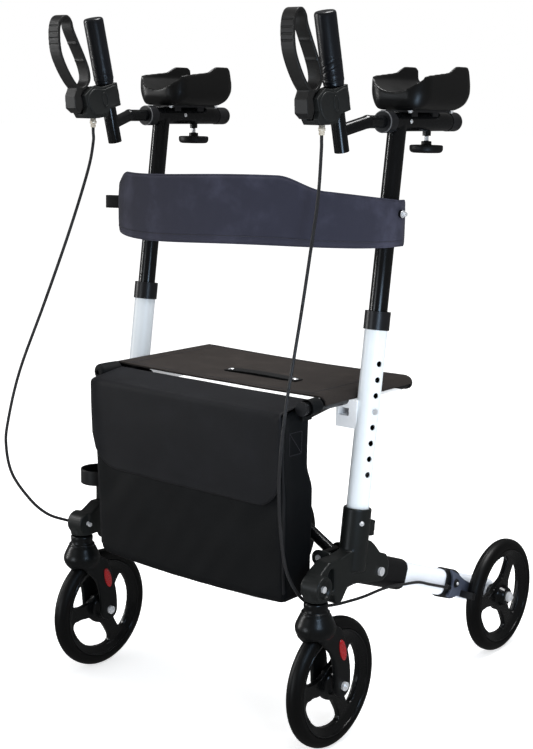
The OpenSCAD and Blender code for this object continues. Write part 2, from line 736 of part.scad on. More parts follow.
module pad_side_outline() {
    e = pad_len;
    h = pad_front_h;
    top = pad_peak_h;
    polygon([
        [9, 0], [e - 15, 0], [e - 10, 8], [e - 4, 24], [e, h - 6], [e - 1, h + 4], [e - 8, top - 4],
        [e - 14, top], [e - 44, top], [e - 54, top - 4], [e - 66, h + 8], [10, h + 1], [4, h - 1],
        [1, h - 5], [0, h - 10], [0, 16], [3, 6]
    ]);
}
module pad_end_outline() {
    r = 15;
    polygon(concat([[-pad_w / 2, pad_peak_h + 1]], arc(r, 180, 270, 8, [r - pad_w / 2, r]),
        arc(r, 270, 360, 8, [pad_w / 2 - r, r]), [[pad_w / 2, pad_peak_h + 1]]));
}
module pad_plan_outline() {
    f = 27;
    r = 18;
    polygon(concat(arc(f, 180, 270, 8, [f - pad_w / 2, f]), arc(f, 270, 360, 8, [pad_w / 2 - f, f]),
        arc(r, 0, 90, 8, [pad_w / 2 - r, pad_len - r]), arc(r, 90, 180, 8, [r - pad_w / 2, pad_len - r])));
}
module forearm_pad(s) {
    color("#0d0d0f") on_side(s) translate([post_x, pad_y, pad_z]) difference() {
        intersection() {
            side_plate(-pad_w, pad_w) pad_side_outline();
            translate([0, pad_len, 0]) rotate([90, 0, 0]) linear_extrude(pad_len) pad_end_outline();
            linear_extrude(pad_peak_h + 1) pad_plan_outline();
        }
        intersection() {
            rod_y(trough_r, -1, pad_len + 1, 0, pad_base_h + trough_r);
            translate([pad_wall - pad_w / 2, -2, 0]) cube([pad_w - 2 * pad_wall, pad_len + 4, 3 * trough_r]);
        }
    }
}
module clamp_knob(s) {
    knob_top = nut_z - stud_len;
    color("#121316") on_side(s) translate([post_x, arm_y + knob_y, 0]) {
        translate([0, 0, knob_top - knob_t]) rotate_extrude()
            polygon(concat([[0, 0], [knob_d / 2 - 7, 0]], arc(6, -80, 0, 5, [knob_d / 2 - 6, 6]),
                arc(2, 0, 90, 3, [knob_d / 2 - 2, knob_t - 2]),
                [[8, knob_t], [8, knob_t + 6], [0, knob_t + 6]]));
        rod_z(stud_d / 2, knob_top - 2, arm_z - branch_r - run_gap, 0, 0);
    }
}

// Handle: leaning post with a bent branch into the forearm tube, grip, brake housing and lever
module handle_post(s) {
    branch_start = handle_foot + joint_t * [0, -sin(handle_lean), cos(handle_lean)];
    bend = [post_x, bend_y, arm_z];
    color("#0f1013") on_side(s) difference() {
        union() {
            on_handle() cylinder(r = handle_r, h = handle_len);
            rod(branch_start, bend, branch_r);
            translate(bend) sphere(r = branch_r + 0.6);
            rod_y(branch_r, bend_y, arm_front_y + branch_in, post_x, arm_z);
        }
        rod_y(branch_r - 1.8, bend_y + 12, arm_front_y + branch_in + 1, post_x, arm_z);
    }
}
module hand_grip(s) {
    g = grip_d / 2;
    color("#111216") on_side(s) on_handle() difference() {
        translate([0, 0, grip_start]) rotate_extrude()
            polygon([[0, 0], [g - 2, 0], [g - 1, 2], [g - 1, 9], [g - 3.5, 14], [g - 3.5, 18], [g - 0.5, 25],
                [g - 0.5, 34], [g - 2, 44], [g - 1.5, 64], [g, 84], [g, grip_len - 4],
                [g - 1, grip_len - 1.2], [g - 3, grip_len], [0, grip_len]]);
        translate([0, 0, grip_start - 1])
            cylinder(r = handle_r + fit_gap, h = handle_len - grip_start + 1 + run_gap);
    }
}
module housing_outline() {
    top = grip_start - run_gap;
    polygon([[13.5, 58], [13.5, top], [-19, top], [-40, top + 6], [-62, top - 4], [-60, 74], [-66, 64],
        [-62, 55], [-40, 50], [-20, 48], [-13, 58]]);
}
module brake_housing(s) {
    color("#16171a") on_side(s) {
        on_handle() difference() {
            union() {
                side_plate(-housing_w / 2, housing_w / 2) housing_outline();
                translate([0, 0, 58]) cylinder(r = handle_r + 2.5, h = grip_start - run_gap - 58);
            }
            translate([0, 0, 40]) cylinder(r = handle_r + fit_gap, h = 80);
            translate([-tongue_w / 2 - run_gap, -110, 62]) cube([tongue_w + 2 * run_gap, 84, 60]);
        }
        on_handle() rod_x(lever_pin_d / 2, -housing_w / 2 + 3, housing_w / 2 - 3, lever_pin.x, lever_pin.y);
        translate(barrel_end) cylinder(r = 3.5, h = barrel_len);
    }
}
LOOP = [[-54, 103], [-42, 112], [-40, 128], [-44, 148], [-51, 172], [-57, 194], [-58, 207], [-64, 216],
    [-74, 216], [-82, 208], [-88, 192], [-91, 168], [-87, 146], [-78, 122], [-67, 105]];

module brake_lever(s) {
    mid = closed_curve(LOOP, 4);
    color("#1a1b1d") on_side(s) on_handle() difference() {
        union() {
            side_plate(-lever_w / 2, lever_w / 2) difference() {
                polygon(grown(mid, lever_t / 2));
                polygon(grown(mid, -lever_t / 2));
            }
            side_plate(-lever_w / 2, lever_w / 2)
                polygon([[-66, 101], [-60, 101], [-67, 93], [-66, 78], [-74, 66], [-83, 76], [-80, 95],
                    [-71, 106]]);
            side_plate(-tongue_w / 2, tongue_w / 2)
                polygon([[-58, 101], [-38, 84], [-36, 74], [-42, 67], [-52, 67], [-72, 72], [-78, 92],
                    [-70, 104]]);
        }
        rod_x(lever_pin_d / 2 + fit_gap, -lever_w, lever_w, lever_pin.x, lever_pin.y);
    }
}

// Rear leg and its fittings
module rear_leg(s) {
    color("#f2f3f5") on_side(s) on_leg() difference() {
        oval_bar(leg_w, leg_h, -leg_len + 20, leg_tail);
        oval_bar(leg_w - 2 * leg_wall, leg_h - 2 * leg_wall, -leg_len, -18);
        rod_x(axle_d / 2 + fit_gap, -leg_w, leg_w, 0, 0);
    }
}
module leg_fittings(s) {
    w = leg_w + 2 * fitting_wall;
    h = leg_h + 2 * fitting_wall;
    color("#15161a") on_side(s) on_leg() {
        difference() {
            oval_bar(w, h, -leg_len - 14, -leg_len + leg_socket_len - 14);
            oval_bar(leg_w + 2 * fit_gap, leg_h + 2 * fit_gap, -leg_len + 20, -leg_len + 2 * leg_socket_len);
        }
        difference() {
            oval_bar(w, h, -ring_start - ring_len, -ring_start);
            oval_bar(leg_w + 2 * fit_gap, leg_h + 2 * fit_gap, -2 * leg_len, 0);
        }
        rod_x(4, fitting_out - 1, fitting_out + brake_arm_t + 2 * run_gap + 1, -brake_pivot_s, brake_pivot_h);
        rod_x(7, fitting_out + brake_arm_t + 2 * run_gap, fitting_out + brake_arm_t + 2 * run_gap + 3,
            -brake_pivot_s, brake_pivot_h);
        rod_y(4.5, cable_stop.y, cable_stop.y + 9, cable_stop.x, cable_stop.z);
    }
}
shoe_r = wheel_r + shoe_gap;
brake_pivot_h = 4;

module brake_arm(s) {
    face = fitting_out + run_gap;
    p = -brake_pivot_s;
    color("#3c4150") on_side(s) {
        on_leg() difference() {
            translate([face, 0, 0]) side_plate(0, brake_arm_t) polygon(closed_curve([
                [p - 22, 24], [p - 8, 22.5], [p + 8, 19], [p + 28, 13], [-76, 8], [-52, 5], [-46, 0],
                [-52, -5], [-76, -8], [-98, -11], [-shoe_r - 9, -15.5], [p + 2, -20.5], [p - 12, -23],
                [p - 18, -19.5], [p - 11, -10], [p - 8.5, 2], [p - 12, 13]], 3));
            rod_x(4 + fit_gap, 0, 2 * leg_w, p, brake_pivot_h);
        }
        difference() {
            on_leg() translate([face, -shoe_r - 9, -18])
                cube([wheel_x + tyre_w / 2 - 4 - leg_x - face, 14, 12]);
            rod_x(shoe_r, leg_x, wheel_x + tyre_w, wheelbase, wheel_r, $fn = 96);
        }
    }
}

// Crossed braces, each welded to the seat rail at its upper end
module brace(y) {
    low = [-rail_x, y, pivot_z];
    high = [rail_x, y, rail_z];
    way = unit(high - low);
    mid = (low + high) / 2;
    knuckle0 = brace_y - rail_r - 0.5;
    knuckle1 = brace_y + brace_step + rail_r + 0.5;
    difference() {
        union() {
            rod(low, high, rail_r - 0.4);
            rod_y(rail_r, knuckle0, knuckle1, low.x, low.z);
            rod_y(rail_r, rail_front_y, rail_rear_y, high.x, high.z);
        }
        rod(low + 16 * way, mid - 16 * way, rail_r - brace_wall);
        rod(mid + 16 * way, high - 16 * way, rail_r - brace_wall);
        rod_y(pivot_d / 2 + fit_gap, knuckle0 - 1, knuckle1 + 1, low.x, low.z);
        rod_y(rail_r - brace_wall, rail_front_y - 1, rail_rear_y + 1, high.x, high.z);
    }
}
cross_z = (pivot_z + rail_z) / 2;

module brace_front() {
    color("#1a1b1e") on_side(1) {
        brace(brace_y);
        rod_y(rail_r - 1, brace_y, brace_y + brace_step - rail_r - run_gap, 0, cross_z);
        rod_y(pivot_d / 2, brace_y, brace_y + brace_step + rail_r + 4, 0, cross_z);
    }
}
module brace_rear() {
    color("#1a1b1e") on_side(-1) difference() {
        brace(brace_y + brace_step);
        rod_y(pivot_d / 2 + fit_gap, brace_y, brace_y + 2 * brace_step, 0, cross_z);
    }
}
module rail_caps(s) {
    in_r = rail_r - brace_wall - fit_gap;
    color("#0d0e10") on_side(s) {
        rod_y(in_r, rail_front_y - 1, rail_front_y + 12, rail_x, rail_z);
        rod_y(rail_r + 1, rail_front_y - rail_cap_len, rail_front_y, rail_x, rail_z);
        rod_y(in_r, rail_rear_y - 12, rail_rear_y + 1, rail_x, rail_z);
        rod_y(rail_r + 1, rail_rear_y, rail_rear_y + rail_cap_len, rail_x, rail_z);
    }
}
module seat_saddle(s) {
    y0 = post_y((rail_z - foot_z) / cos(post_lean)) - saddle_len * 0.17;
    y1 = y0 + saddle_len * 0.42;
    cradle_r = rail_r + run_gap;
    x0 = rail_x - cradle_r - saddle_wall;
    width = post_x - x0 - 8;
    color("#eef0f3") on_side(s) difference() {
        union() {
            translate([x0, y0, rail_z - saddle_h - run_gap]) cube([width, y1 - y0, saddle_h]);
            translate([x0, y0, rail_z - saddle_rear_h - run_gap]) cube([width, saddle_len, saddle_rear_h]);
        }
        rod_y(cradle_r, y0 - 1, y0 + saddle_len + 1, rail_x, rail_z);
        translate([rail_x - cradle_r, y0 - 1, rail_z - saddle_rear_h + saddle_wall])
            cube([2 * cradle_r, saddle_len + 2, saddle_rear_h - saddle_wall - cradle_r - saddle_wall]);
        on_post(0) cylinder(r = lower_od / 2 + fit_gap, h = lower_len);
    }
}

// Seat cloth over the rails, with a pull strap on it
// The strap lies in a bed of the seat, a little below the seat's face
strap_z = rail_z + rail_r + run_gap + seat_t - strap_t - 0.2;
module strap_block(gap, h) {
    translate([strap_x - strap_len / 2 - gap, strap_y - strap_w / 2 - gap, strap_z])
        cube([strap_len + 2 * gap, strap_w + 2 * gap, h]);
}
module seat_sling() {
    inner = rail_r + run_gap;
    len_y = rail_rear_y - seat_front_y;
    color("#26241f") on_side(1) {
        difference() {
            translate([-rail_x, seat_front_y, rail_z + inner]) cube([rail_spacing, len_y, seat_t]);
            strap_block(run_gap, 2 * strap_t);
        }
        for (m = [0, 1]) mirror([m, 0, 0]) difference() {
            rod_y(inner + seat_t, seat_front_y, rail_rear_y, rail_x, rail_z);
            rod_y(inner, seat_front_y - 1, rail_rear_y + 1, rail_x, rail_z);
            translate([rail_x - 2 * inner, seat_front_y - 1, rail_z - 3 * inner])
                cube([2 * inner, len_y + 2, 6 * inner]);
            translate([rail_x - 1, seat_front_y - 1, rail_z - 3 * inner])
                cube([3 * inner, len_y + 2, 3 * inner + run_gap]);
        }
    }
}
module pull_strap() {
    color("#151515") on_side(1) strap_block(0, strap_t);
}

// Storage bag hung from the rails' front ends, and its flap
function bag_front(z) = bag_front_y + (bag_toe_y - bag_front_y) * (bag_top_z - z) / bag_h;
module bag_outline(d) {
    low = bag_top_z - bag_h + d;
    over = d > 0 ? 1 : 0;
    polygon([[bag_front(low) + d, low], [bag_rear_y - d, low], [bag_rear_y - d, bag_back_z + over],
        [bag_front(bag_top_z) + d, bag_top_z + over]]);
}
module storage_bag() {
    sleeve_y = rail_front_y + 8;
    inner = rail_r + run_gap;
    color("#101216") on_side(1) {
        difference() {
            side_plate(-bag_w / 2, bag_w / 2) bag_outline(0);
            side_plate(-bag_w / 2 + bag_wall, bag_w / 2 - bag_wall) bag_outline(bag_wall);
        }
        for (m = [0, 1]) mirror([m, 0, 0]) difference() {
            union() {
                rod_y(inner + 2.5, sleeve_y, bag_rear_y - 2, rail_x, rail_z);
                translate([bag_w / 2 - bag_wall, sleeve_y, bag_top_z])
                    cube([rail_x - bag_w / 2 + bag_wall, bag_rear_y - 2 - sleeve_y, 11]);
            }
            rod_y(inner, sleeve_y - 1, bag_rear_y, rail_x, rail_z);
        }
    }
}
flap_z = bag_back_z + 2.5;
flap_front_z = bag_top_z + 2.5;
module flap_outline() {
    low = flap_front_z - flap_drop;
    polygon([[bag_rear_y, flap_z], [bag_rear_y, flap_z + flap_t],
        [bag_front_y - flap_t - 1, flap_front_z + flap_t], [bag_front(low) - flap_t - 1, low],
        [bag_front(low) - 1, low], [bag_front_y - 1, flap_front_z]]);
}
module bag_flap() {
    color("#14161b") on_side(1) side_plate(-flap_w / 2, flap_w / 2) flap_outline();
}

// Backrest band bowed forward between the posts
band_y = post_y(band_stud_t);
band_low_z = post_z(band_low_t);
band_a = band_in_x + band_t / 2;
band_b = band_reach - band_t / 2;
band_tail = 14;
// Share of the taper from the tall middle to the low ends at a distance x from the middle
function band_ease(x) =
    let (f = min(max((abs(x) - band_tall_w / 2) / (band_taper_w - band_tall_w) * 2, 0), 1))
    f * f * (3 - 2 * f);
// One ring of the padded band: a place on its bow, the outward way there and its swell
function band_ring(p, out, swell) =
    let (e = band_ease(p.x), low = band_low_z, high = low + band_h + (band_end_h - band_h) * e)
    [for (side = [1, -1]) for (k = [0:6])
        let (v = side > 0 ? 1 - k / 6 : k / 6, half = band_t / 2 * (0.7 + (0.3 + swell) * sin(180 * v)))
        [p.x + side * half * out.x, p.y + side * half * out.y, low + (high - low) * v]];
module backrest_band() {
    n = 40;
    bow = [for (i = [0:n]) let (u = 180 + 180 * i / n)
        band_ring([band_a * cos(u), band_y + band_b * sin(u)], unit([cos(u) / band_a, sin(u) / band_b]),
            0.45 * pow(sin(u), 2))];
    color("#23252d") on_side(1) difference() {
        loft(concat([band_ring([-band_a, band_y + band_tail], [-1, 0], 0)], bow,
            [band_ring([band_a, band_y + band_tail], [1, 0], 0)]));
        for (m = [-1, 1])
            rod_x(3 + run_gap, m * band_a - band_t, m * band_a + band_t, band_y, post_z(band_stud_t));
    }
}

// Cup for a cane on the left casting
cup_x = post_x + 9;
cup_z = arm_top_z + cup_stalk_h;
module cane_cup() {
    color("#121316") on_side(-1) difference() {
        union() {
            rod_z(7, arm_top_z, cup_z, cup_x - 4, 0);
            rod_z(cup_d / 2, cup_z - 1, cup_z + cup_h, cup_x, 0);
        }
        rod_z(cup_d / 2 - cup_wall, cup_z + 2, cup_z + cup_h + 1, cup_x, 0);
    }
}

// Bolts, brace pivot pin and rear axle of one side frame
module frame_bolts(s) {
    knuckle1 = brace_y + brace_step + rail_r + 0.5;
    lug_end = knuckle1 + run_gap + lug_t;
    head = axle_d / 2 + 3;
    hub_in = wheel_x - rear_hub_len / 2;
    hub_out = wheel_x + rear_hub_len / 2;
    color("silver") on_side(s) {
        rod_y(pivot_d / 2, brace_y - rail_r - 1 - lug_t, lug_end + 2, rail_x, pivot_z);
        rod_y(pivot_d / 2 + 3, lug_end + fit_gap, lug_end + 4, rail_x, pivot_z);
        rod_x(axle_d / 2, leg_x - leg_w / 2 - 2, hub_out + 2, wheelbase, wheel_r);
        rod_x(head, leg_x - leg_w / 2 - 5, leg_x - leg_w / 2 - fit_gap, wheelbase, wheel_r);
        rod_x(head, leg_x + leg_w / 2 + fit_gap, hub_in - run_gap, wheelbase, wheel_r);
        rod_x(head, hub_out + run_gap, hub_out + 5, wheelbase, wheel_r);
        rod_x(4, web_in_x + fit_gap, web_out_x + 1, lug_y + 8, lug_z - 1);
        rod_x(7, web_out_x, web_out_x + 4, lug_y + 8, lug_z - 1);
        rod_x(2.5, wheel_x + nose_w / 2 - 7.5, wheel_x + nose_w / 2 - 3, -trail, nose_z);
        rod_x(5, wheel_x + nose_w / 2 - 4, wheel_x + nose_w / 2 - 0.5, -trail, nose_z);
    }
}

// Brake cable from the housing to the rear brake
module brake_cable(s) {
    route = concat(CABLE_TOP, s < 0 ? CABLE_DOWN_LEFT : CABLE_DOWN_RIGHT, CABLE_ALONG_LEG, CABLE_END);
    color("#1b1b1d") on_side(s) tube_sweep(open_curve(route, 2), cable_d, 8);
}

base_casting(-1);  // base_casting_left
base_casting(1);  // base_casting_right
lower_post(-1);  // lower_post_left
lower_post(1);  // lower_post_right
post_collar(-1);  // post_collar_left
post_collar(1);  // post_collar_right
upper_post(-1);  // upper_post_left
upper_post(1);  // upper_post_right
arm_tube_fittings(-1);  // arm_tube_fittings_left
arm_tube_fittings(1);  // arm_tube_fittings_right
forearm_pad(-1);  // forearm_pad_left
forearm_pad(1);  // forearm_pad_right
pad_plate(-1);  // pad_plate_left
pad_plate(1);  // pad_plate_right
handle_post(-1);  // handle_post_left
handle_post(1);  // handle_post_right
hand_grip(-1);  // hand_grip_left
hand_grip(1);  // hand_grip_right
brake_housing(-1);  // brake_housing_left
brake_housing(1);  // brake_housing_right
brake_lever(-1);  // brake_lever_left
brake_lever(1);  // brake_lever_right
clamp_knob(-1);  // clamp_knob_left
clamp_knob(1);  // clamp_knob_right
snap_button(-1);  // snap_button_left
snap_button(1);  // snap_button_right
caster_fork(-1);  // caster_fork_left
caster_fork(1);  // caster_fork_right
caster_axle(-1);  // caster_axle_left
caster_axle(1);  // caster_axle_right
caster_rim(-1);  // caster_rim_left
caster_rim(1);  // caster_rim_right
caster_tyre(-1);  // caster_tyre_left
caster_tyre(1);  // caster_tyre_right
rear_leg(-1);  // rear_leg_left
rear_leg(1);  // rear_leg_right
leg_fittings(-1);  // leg_fittings_left
leg_fittings(1);  // leg_fittings_right
rear_rim(-1);  // rear_rim_left
rear_rim(1);  // rear_rim_right
rear_tyre(-1);  // rear_tyre_left
rear_tyre(1);  // rear_tyre_right
brake_arm(-1);  // brake_arm_left
brake_arm(1);  // brake_arm_right
brake_cable(-1);  // brake_cable_left
brake_cable(1);  // brake_cable_right
seat_saddle(-1);  // seat_saddle_left
seat_saddle(1);  // seat_saddle_right
rail_caps(-1);  // rail_caps_left
rail_caps(1);  // rail_caps_right
frame_bolts(-1);  // frame_bolts_left
frame_bolts(1);  // frame_bolts_right
brace_front();
brace_rear();
seat_sling();
pull_strap();
backrest_band();
storage_bag();
bag_flap();
cane_cup();
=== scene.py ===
"""Looks of an upright walker: camera, cables, soft goods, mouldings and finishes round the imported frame."""

import json
import logging
import math
from dataclasses import dataclass, field
from enum import Enum
from typing import Callable, Iterable, Sequence

import bmesh
import bpy
import numpy as np
from mathutils import Matrix, Vector, noise

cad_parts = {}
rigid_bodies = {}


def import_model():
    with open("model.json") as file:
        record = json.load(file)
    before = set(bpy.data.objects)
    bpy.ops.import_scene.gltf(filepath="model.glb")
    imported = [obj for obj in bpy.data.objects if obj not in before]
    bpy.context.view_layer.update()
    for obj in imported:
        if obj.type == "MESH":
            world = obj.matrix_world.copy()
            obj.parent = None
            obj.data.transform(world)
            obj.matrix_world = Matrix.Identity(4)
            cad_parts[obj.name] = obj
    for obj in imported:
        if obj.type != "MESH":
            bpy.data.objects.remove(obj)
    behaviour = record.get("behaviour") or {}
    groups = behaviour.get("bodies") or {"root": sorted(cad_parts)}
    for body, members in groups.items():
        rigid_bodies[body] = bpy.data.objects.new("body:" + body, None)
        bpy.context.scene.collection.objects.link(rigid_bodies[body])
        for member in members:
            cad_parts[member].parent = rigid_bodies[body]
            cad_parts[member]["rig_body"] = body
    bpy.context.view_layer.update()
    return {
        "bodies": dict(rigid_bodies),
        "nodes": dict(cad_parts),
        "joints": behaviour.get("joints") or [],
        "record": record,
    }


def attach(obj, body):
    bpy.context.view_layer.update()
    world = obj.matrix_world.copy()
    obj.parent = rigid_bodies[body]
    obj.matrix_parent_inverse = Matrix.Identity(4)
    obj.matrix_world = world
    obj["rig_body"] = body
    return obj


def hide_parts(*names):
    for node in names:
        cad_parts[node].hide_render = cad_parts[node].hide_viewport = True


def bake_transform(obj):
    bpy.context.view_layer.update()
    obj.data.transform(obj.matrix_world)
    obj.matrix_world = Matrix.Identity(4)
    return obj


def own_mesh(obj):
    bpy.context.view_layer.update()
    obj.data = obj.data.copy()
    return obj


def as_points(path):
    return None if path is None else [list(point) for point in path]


LOG = logging.getLogger("walker")
Mesh = bpy.types.Mesh
Object = bpy.types.Object
Socket = bpy.types.NodeSocket
Point = Sequence[float]
Line = Sequence[Point]
Spots = Sequence[tuple[Point, Point]]
Colour = tuple[float, float, float]
Turning = tuple[float, float, bool]
Axes = tuple[np.ndarray, np.ndarray, np.ndarray]

# The walker's own lengths are in millimetres, with Y counted from the caster wheels.
Y_MID = 251.0
WHEEL_R = 101.5
WHEEL_X = 247.0
WHEELBASE = 515.0
RAIL_X = 208.0
RAIL_Z = 524.58
POST_X = 240.0
ARM_Z = 940.96
HANDLE_X = 228.0
HANDLE_FOOT = (19.94, 897.96)
HANDLE_LEAN = math.radians(14.3)
LEG_X = 210.0
LEG_SLOPE = math.radians(19.955)


def at(x: float, y: float, z: float) -> Vector:
    """A point of the walker, from millimetres to the shared frame in metres."""
    return Vector((x, y - Y_MID, z)) / 1000.0


def turns(count: int) -> list[float]:
    """Even angles round a circle."""
    return [2 * math.pi * k / count for k in range(count)]


def clamp(value: float) -> float:
    """The value kept between 0 and 1."""
    return min(max(value, 0.0), 1.0)


def on_handle(x: float, y: float, z: float) -> Vector:
    """A point of the right handle's own leaning frame."""
    c, s = math.cos(HANDLE_LEAN), math.sin(HANDLE_LEAN)
    return at(HANDLE_X + x, HANDLE_FOOT[0] + y * c - z * s, HANDLE_FOOT[1] + y * s + z * c)


def on_leg(x: float, y: float, z: float) -> Vector:
    """A point of the right rear leg's own frame, with y counted back along the leg from the axle."""
    c, s = math.cos(LEG_SLOPE), math.sin(LEG_SLOPE)
    return at(LEG_X + x, WHEELBASE + y * c + z * s, WHEEL_R - y * s + z * c)


class Throw(Enum):
    """What a lamp gives: all its light, only its reflection, or only its fill."""

    ALL = (True, True)
    GLOSS = (False, True)
    FILL = (True, False)


class Side(Enum):
    """The two halves of the walker."""

    LEFT = -1
    RIGHT = 1

    @property
    def tag(self) -> str:
        """The word that ends a piece's name."""
        return self.name.lower()

    def of(self, point: Vector) -> Vector:
        """The point of this half that matches one of the right half."""
        return Vector((point.x * self.value, point.y, point.z))


class Lay(Enum):
    """The ways that a thread pattern can lie on cloth."""

    PLAIN = "plain"
    TWILL = "twill"
    MESH = "mesh"


class Wire:
    """One shader value, which takes part in Python sums."""

    def __init__(self, bench: "Bench", socket: Socket) -> None:
        """Keeps the socket and the bench that adds nodes for it."""
        self.bench, self.socket = bench, socket

    def _sum(self, operation: str, left: "Wire | float", right: "Wire | float" = 0.0) -> "Wire":
        """Adds one Math node."""
        return self.bench.node("ShaderNodeMath", {"operation": operation}, {0: left, 1: right})

    def __add__(self, other: "Wire | float") -> "Wire":
        """self + other."""
        return self._sum("ADD", self, other)

    def __radd__(self, other: float) -> "Wire":
        """other + self."""
        return self._sum("ADD", other, self)

    def __sub__(self, other: "Wire | float") -> "Wire":
        """self - other."""
        return self._sum("SUBTRACT", self, other)

    def __rsub__(self, other: float) -> "Wire":
        """other - self."""
        return self._sum("SUBTRACT", other, self)

    def __mul__(self, other: "Wire | float") -> "Wire":
        """self * other."""
        return self._sum("MULTIPLY", self, other)

    def __rmul__(self, other: float) -> "Wire":
        """other * self."""
        return self._sum("MULTIPLY", other, self)

    def __gt__(self, other: "Wire | float") -> "Wire":
        """1 where self is greater than other."""
        return self._sum("GREATER_THAN", self, other)

    def wave(self, pitch: float) -> "Wire":
        """A sine of self with that pitch, from 0 to 1."""
        return self._sum("SINE", self * (2 * math.pi / pitch)) * 0.5 + 0.5


class Bench:
    """A material under construction, with its Principled shader."""

    def __init__(self, name: str) -> None:
        """Starts an empty material."""
        self.material = bpy.data.materials.new(name)
        self.material.use_nodes = True
        self.tree = self.material.node_tree
        self.tree.nodes.clear()
        output = self.tree.nodes.new("ShaderNodeOutputMaterial")
        self.skin = self.tree.nodes.new("ShaderNodeBsdfPrincipled")
        self.tree.links.new(self.skin.outputs[0], output.inputs[0])

    def node(
        self, kind: str, settings: dict | None = None, inputs: dict | None = None, output: int | str = 0
    ) -> Wire:
        """Adds any node.

        Args:
            kind: The node's type.
            settings: Values of the node's own properties.
            inputs: Values or wires by socket name or number.
            output: The socket that the wire comes from.

        Returns:
            The wire that leaves the node.
        """
        made = self.tree.nodes.new(kind)
        for key, value in (settings or {}).items():
            setattr(made, key, value)
        for key, value in (inputs or {}).items():
            socket = made.inputs[key]
            if isinstance(value, Wire):
                self.tree.links.new(value.socket, socket)
            else:
                socket.default_value = value
        return Wire(self, made.outputs[output])

    def places(self) -> Wire:
        """Object coordinates, in metres."""
        return self.node("ShaderNodeTexCoord", output="Object")

    def cloth_places(self) -> tuple[Wire, Wire]:
        """The two lengths along the cloth that the piece's UV map holds, in metres."""
        uv = self.node("ShaderNodeUVMap", {"uv_map": "cloth"})
        parts = self.node("ShaderNodeSeparateXYZ", inputs={0: uv})
        return parts, Wire(self, parts.socket.node.outputs[1])

    def speckle(self, size: float, detail: float = 2.0, rough: float = 0.5) -> Wire:
        """Soft noise whose features are about size metres across."""
        look = {"Scale": 1.0 / size, "Detail": detail, "Roughness": rough}
        return self.node("ShaderNodeTexNoise", inputs={"Vector": self.places(), **look})

    def pebbles(self, size: float, **settings: str) -> Wire:
        """Cell distance of a pebbled grain with cells about size metres across."""
        cells = {"Vector": self.places(), "Scale": 1.0 / size}
        return self.node("ShaderNodeTexVoronoi", {"feature": "F1", **settings}, cells)

    def ramp(self, value: Wire, low: float, high: float, start: float = 0.0, end: float = 1.0) -> Wire:
        """value mapped smoothly from low..high to start..end."""
        return self.node(
            "ShaderNodeMapRange",
            {"interpolation_type": "SMOOTHSTEP"},
            {"Value": value, "From Min": low, "From Max": high, "To Min": start, "To Max": end},
        )

    def edges(self) -> Wire:
        """1 along sharp outward edges and 0 elsewhere; the finishes paint rubbed wear and a painted highlight
        there.
        """
        return self.ramp(self.node("ShaderNodeNewGeometry", output="Pointiness"), 0.52, 0.60)

    def mix(self, share: Wire, first: "Wire | Colour", second: "Wire | Colour") -> Wire:
        """A colour between two colours."""
        full = [c if isinstance(c, Wire) else (*c, 1.0) for c in (first, second)]
        return self.node("ShaderNodeMix", {"data_type": "RGBA"}, {0: share, 6: full[0], 7: full[1]}, 2)

    def feed(self, socket: str, wire: Wire) -> None:
        """Links a varying value to the shader."""
        self.tree.links.new(wire.socket, self.skin.inputs[socket])

    def fix(self, values: dict) -> None:
        """Sets values that are the same all over the surface."""
        for socket, value in values.items():
            self.skin.inputs[socket].default_value = value

    def bump(self, height: Wire, depth: float, strength: float = 1.0) -> None:
        """Raises the surface by height times depth metres."""
        shape = {"Strength": strength, "Distance": depth, "Height": height}
        self.feed("Normal", self.node("ShaderNodeBump", inputs=shape))


def tinted(colour: Colour, by: float) -> Colour:
    """The colour made lighter or darker."""
    return tuple(min(1.0, c * by) for c in colour)


@dataclass(frozen=True)
class Finish:
    """What every finish has: a name, a colour and a roughness."""

    name: str
    colour: Colour
    roughness: float

    def make(self) -> bpy.types.Material:
        """Builds the material once, and gives the same one afterwards."""
        found = bpy.data.materials.get(self.name)
        if found is None:
            bench = Bench(self.name)
            self.lay(bench)
            bench.material.diffuse_color = (*self.colour, 1.0)
            found = bench.material
        return found

    def lay(self, bench: Bench) -> None:
        """Adds the finish's own nodes."""
        raise NotImplementedError


@dataclass(frozen=True)
class Paint(Finish):
    """Stove paint on metal, with a faint orange peel and hazy handling marks."""

    peel: float = 0.00003
    shine: float = 0.3

    def lay(self, bench: Bench) -> None:
        """Adds the finish's own nodes."""
        haze = bench.speckle(0.05, 4.0, 0.6)
        scuff = bench.ramp(bench.speckle(0.004, 6.0, 0.7), 0.58, 0.72)
        bench.feed("Base Color", bench.mix(haze, tinted(self.colour, 0.94), tinted(self.colour, 1.04)))
        bench.feed("Roughness", self.roughness + 0.07 * haze + 0.08 * scuff)
        bench.bump(bench.speckle(0.0016, 2.0), self.peel, 0.6)
        bench.fix({"Specular IOR Level": self.shine})


@dataclass(frozen=True)
class Moulding(Finish):
    """Moulded plastic with a pebbled grain, and paler edges that are partly rubbed wear and partly a painted
    highlight.
    """

    grain: float = 0.0011
    depth: float = 0.00005
    shine: float = 0.2

    def lay(self, bench: Bench) -> None:
        """Adds the finish's own nodes."""
        pebble, cloud, worn_and_lit = bench.pebbles(self.grain), bench.speckle(0.03, 3.0), bench.edges()
        base = bench.mix(cloud, tinted(self.colour, 0.82), tinted(self.colour, 1.15))
        # Edges are painted paler: partly rubbed wear, partly a painted highlight along them.
        bench.feed("Base Color", bench.mix(worn_and_lit * 0.5, base, tinted(self.colour, 2.4)))
        bench.feed("Roughness", self.roughness + 0.10 * cloud - 0.08 * worn_and_lit)
        bench.bump(pebble, self.depth, 0.5)
        bench.fix({"Specular IOR Level": self.shine})


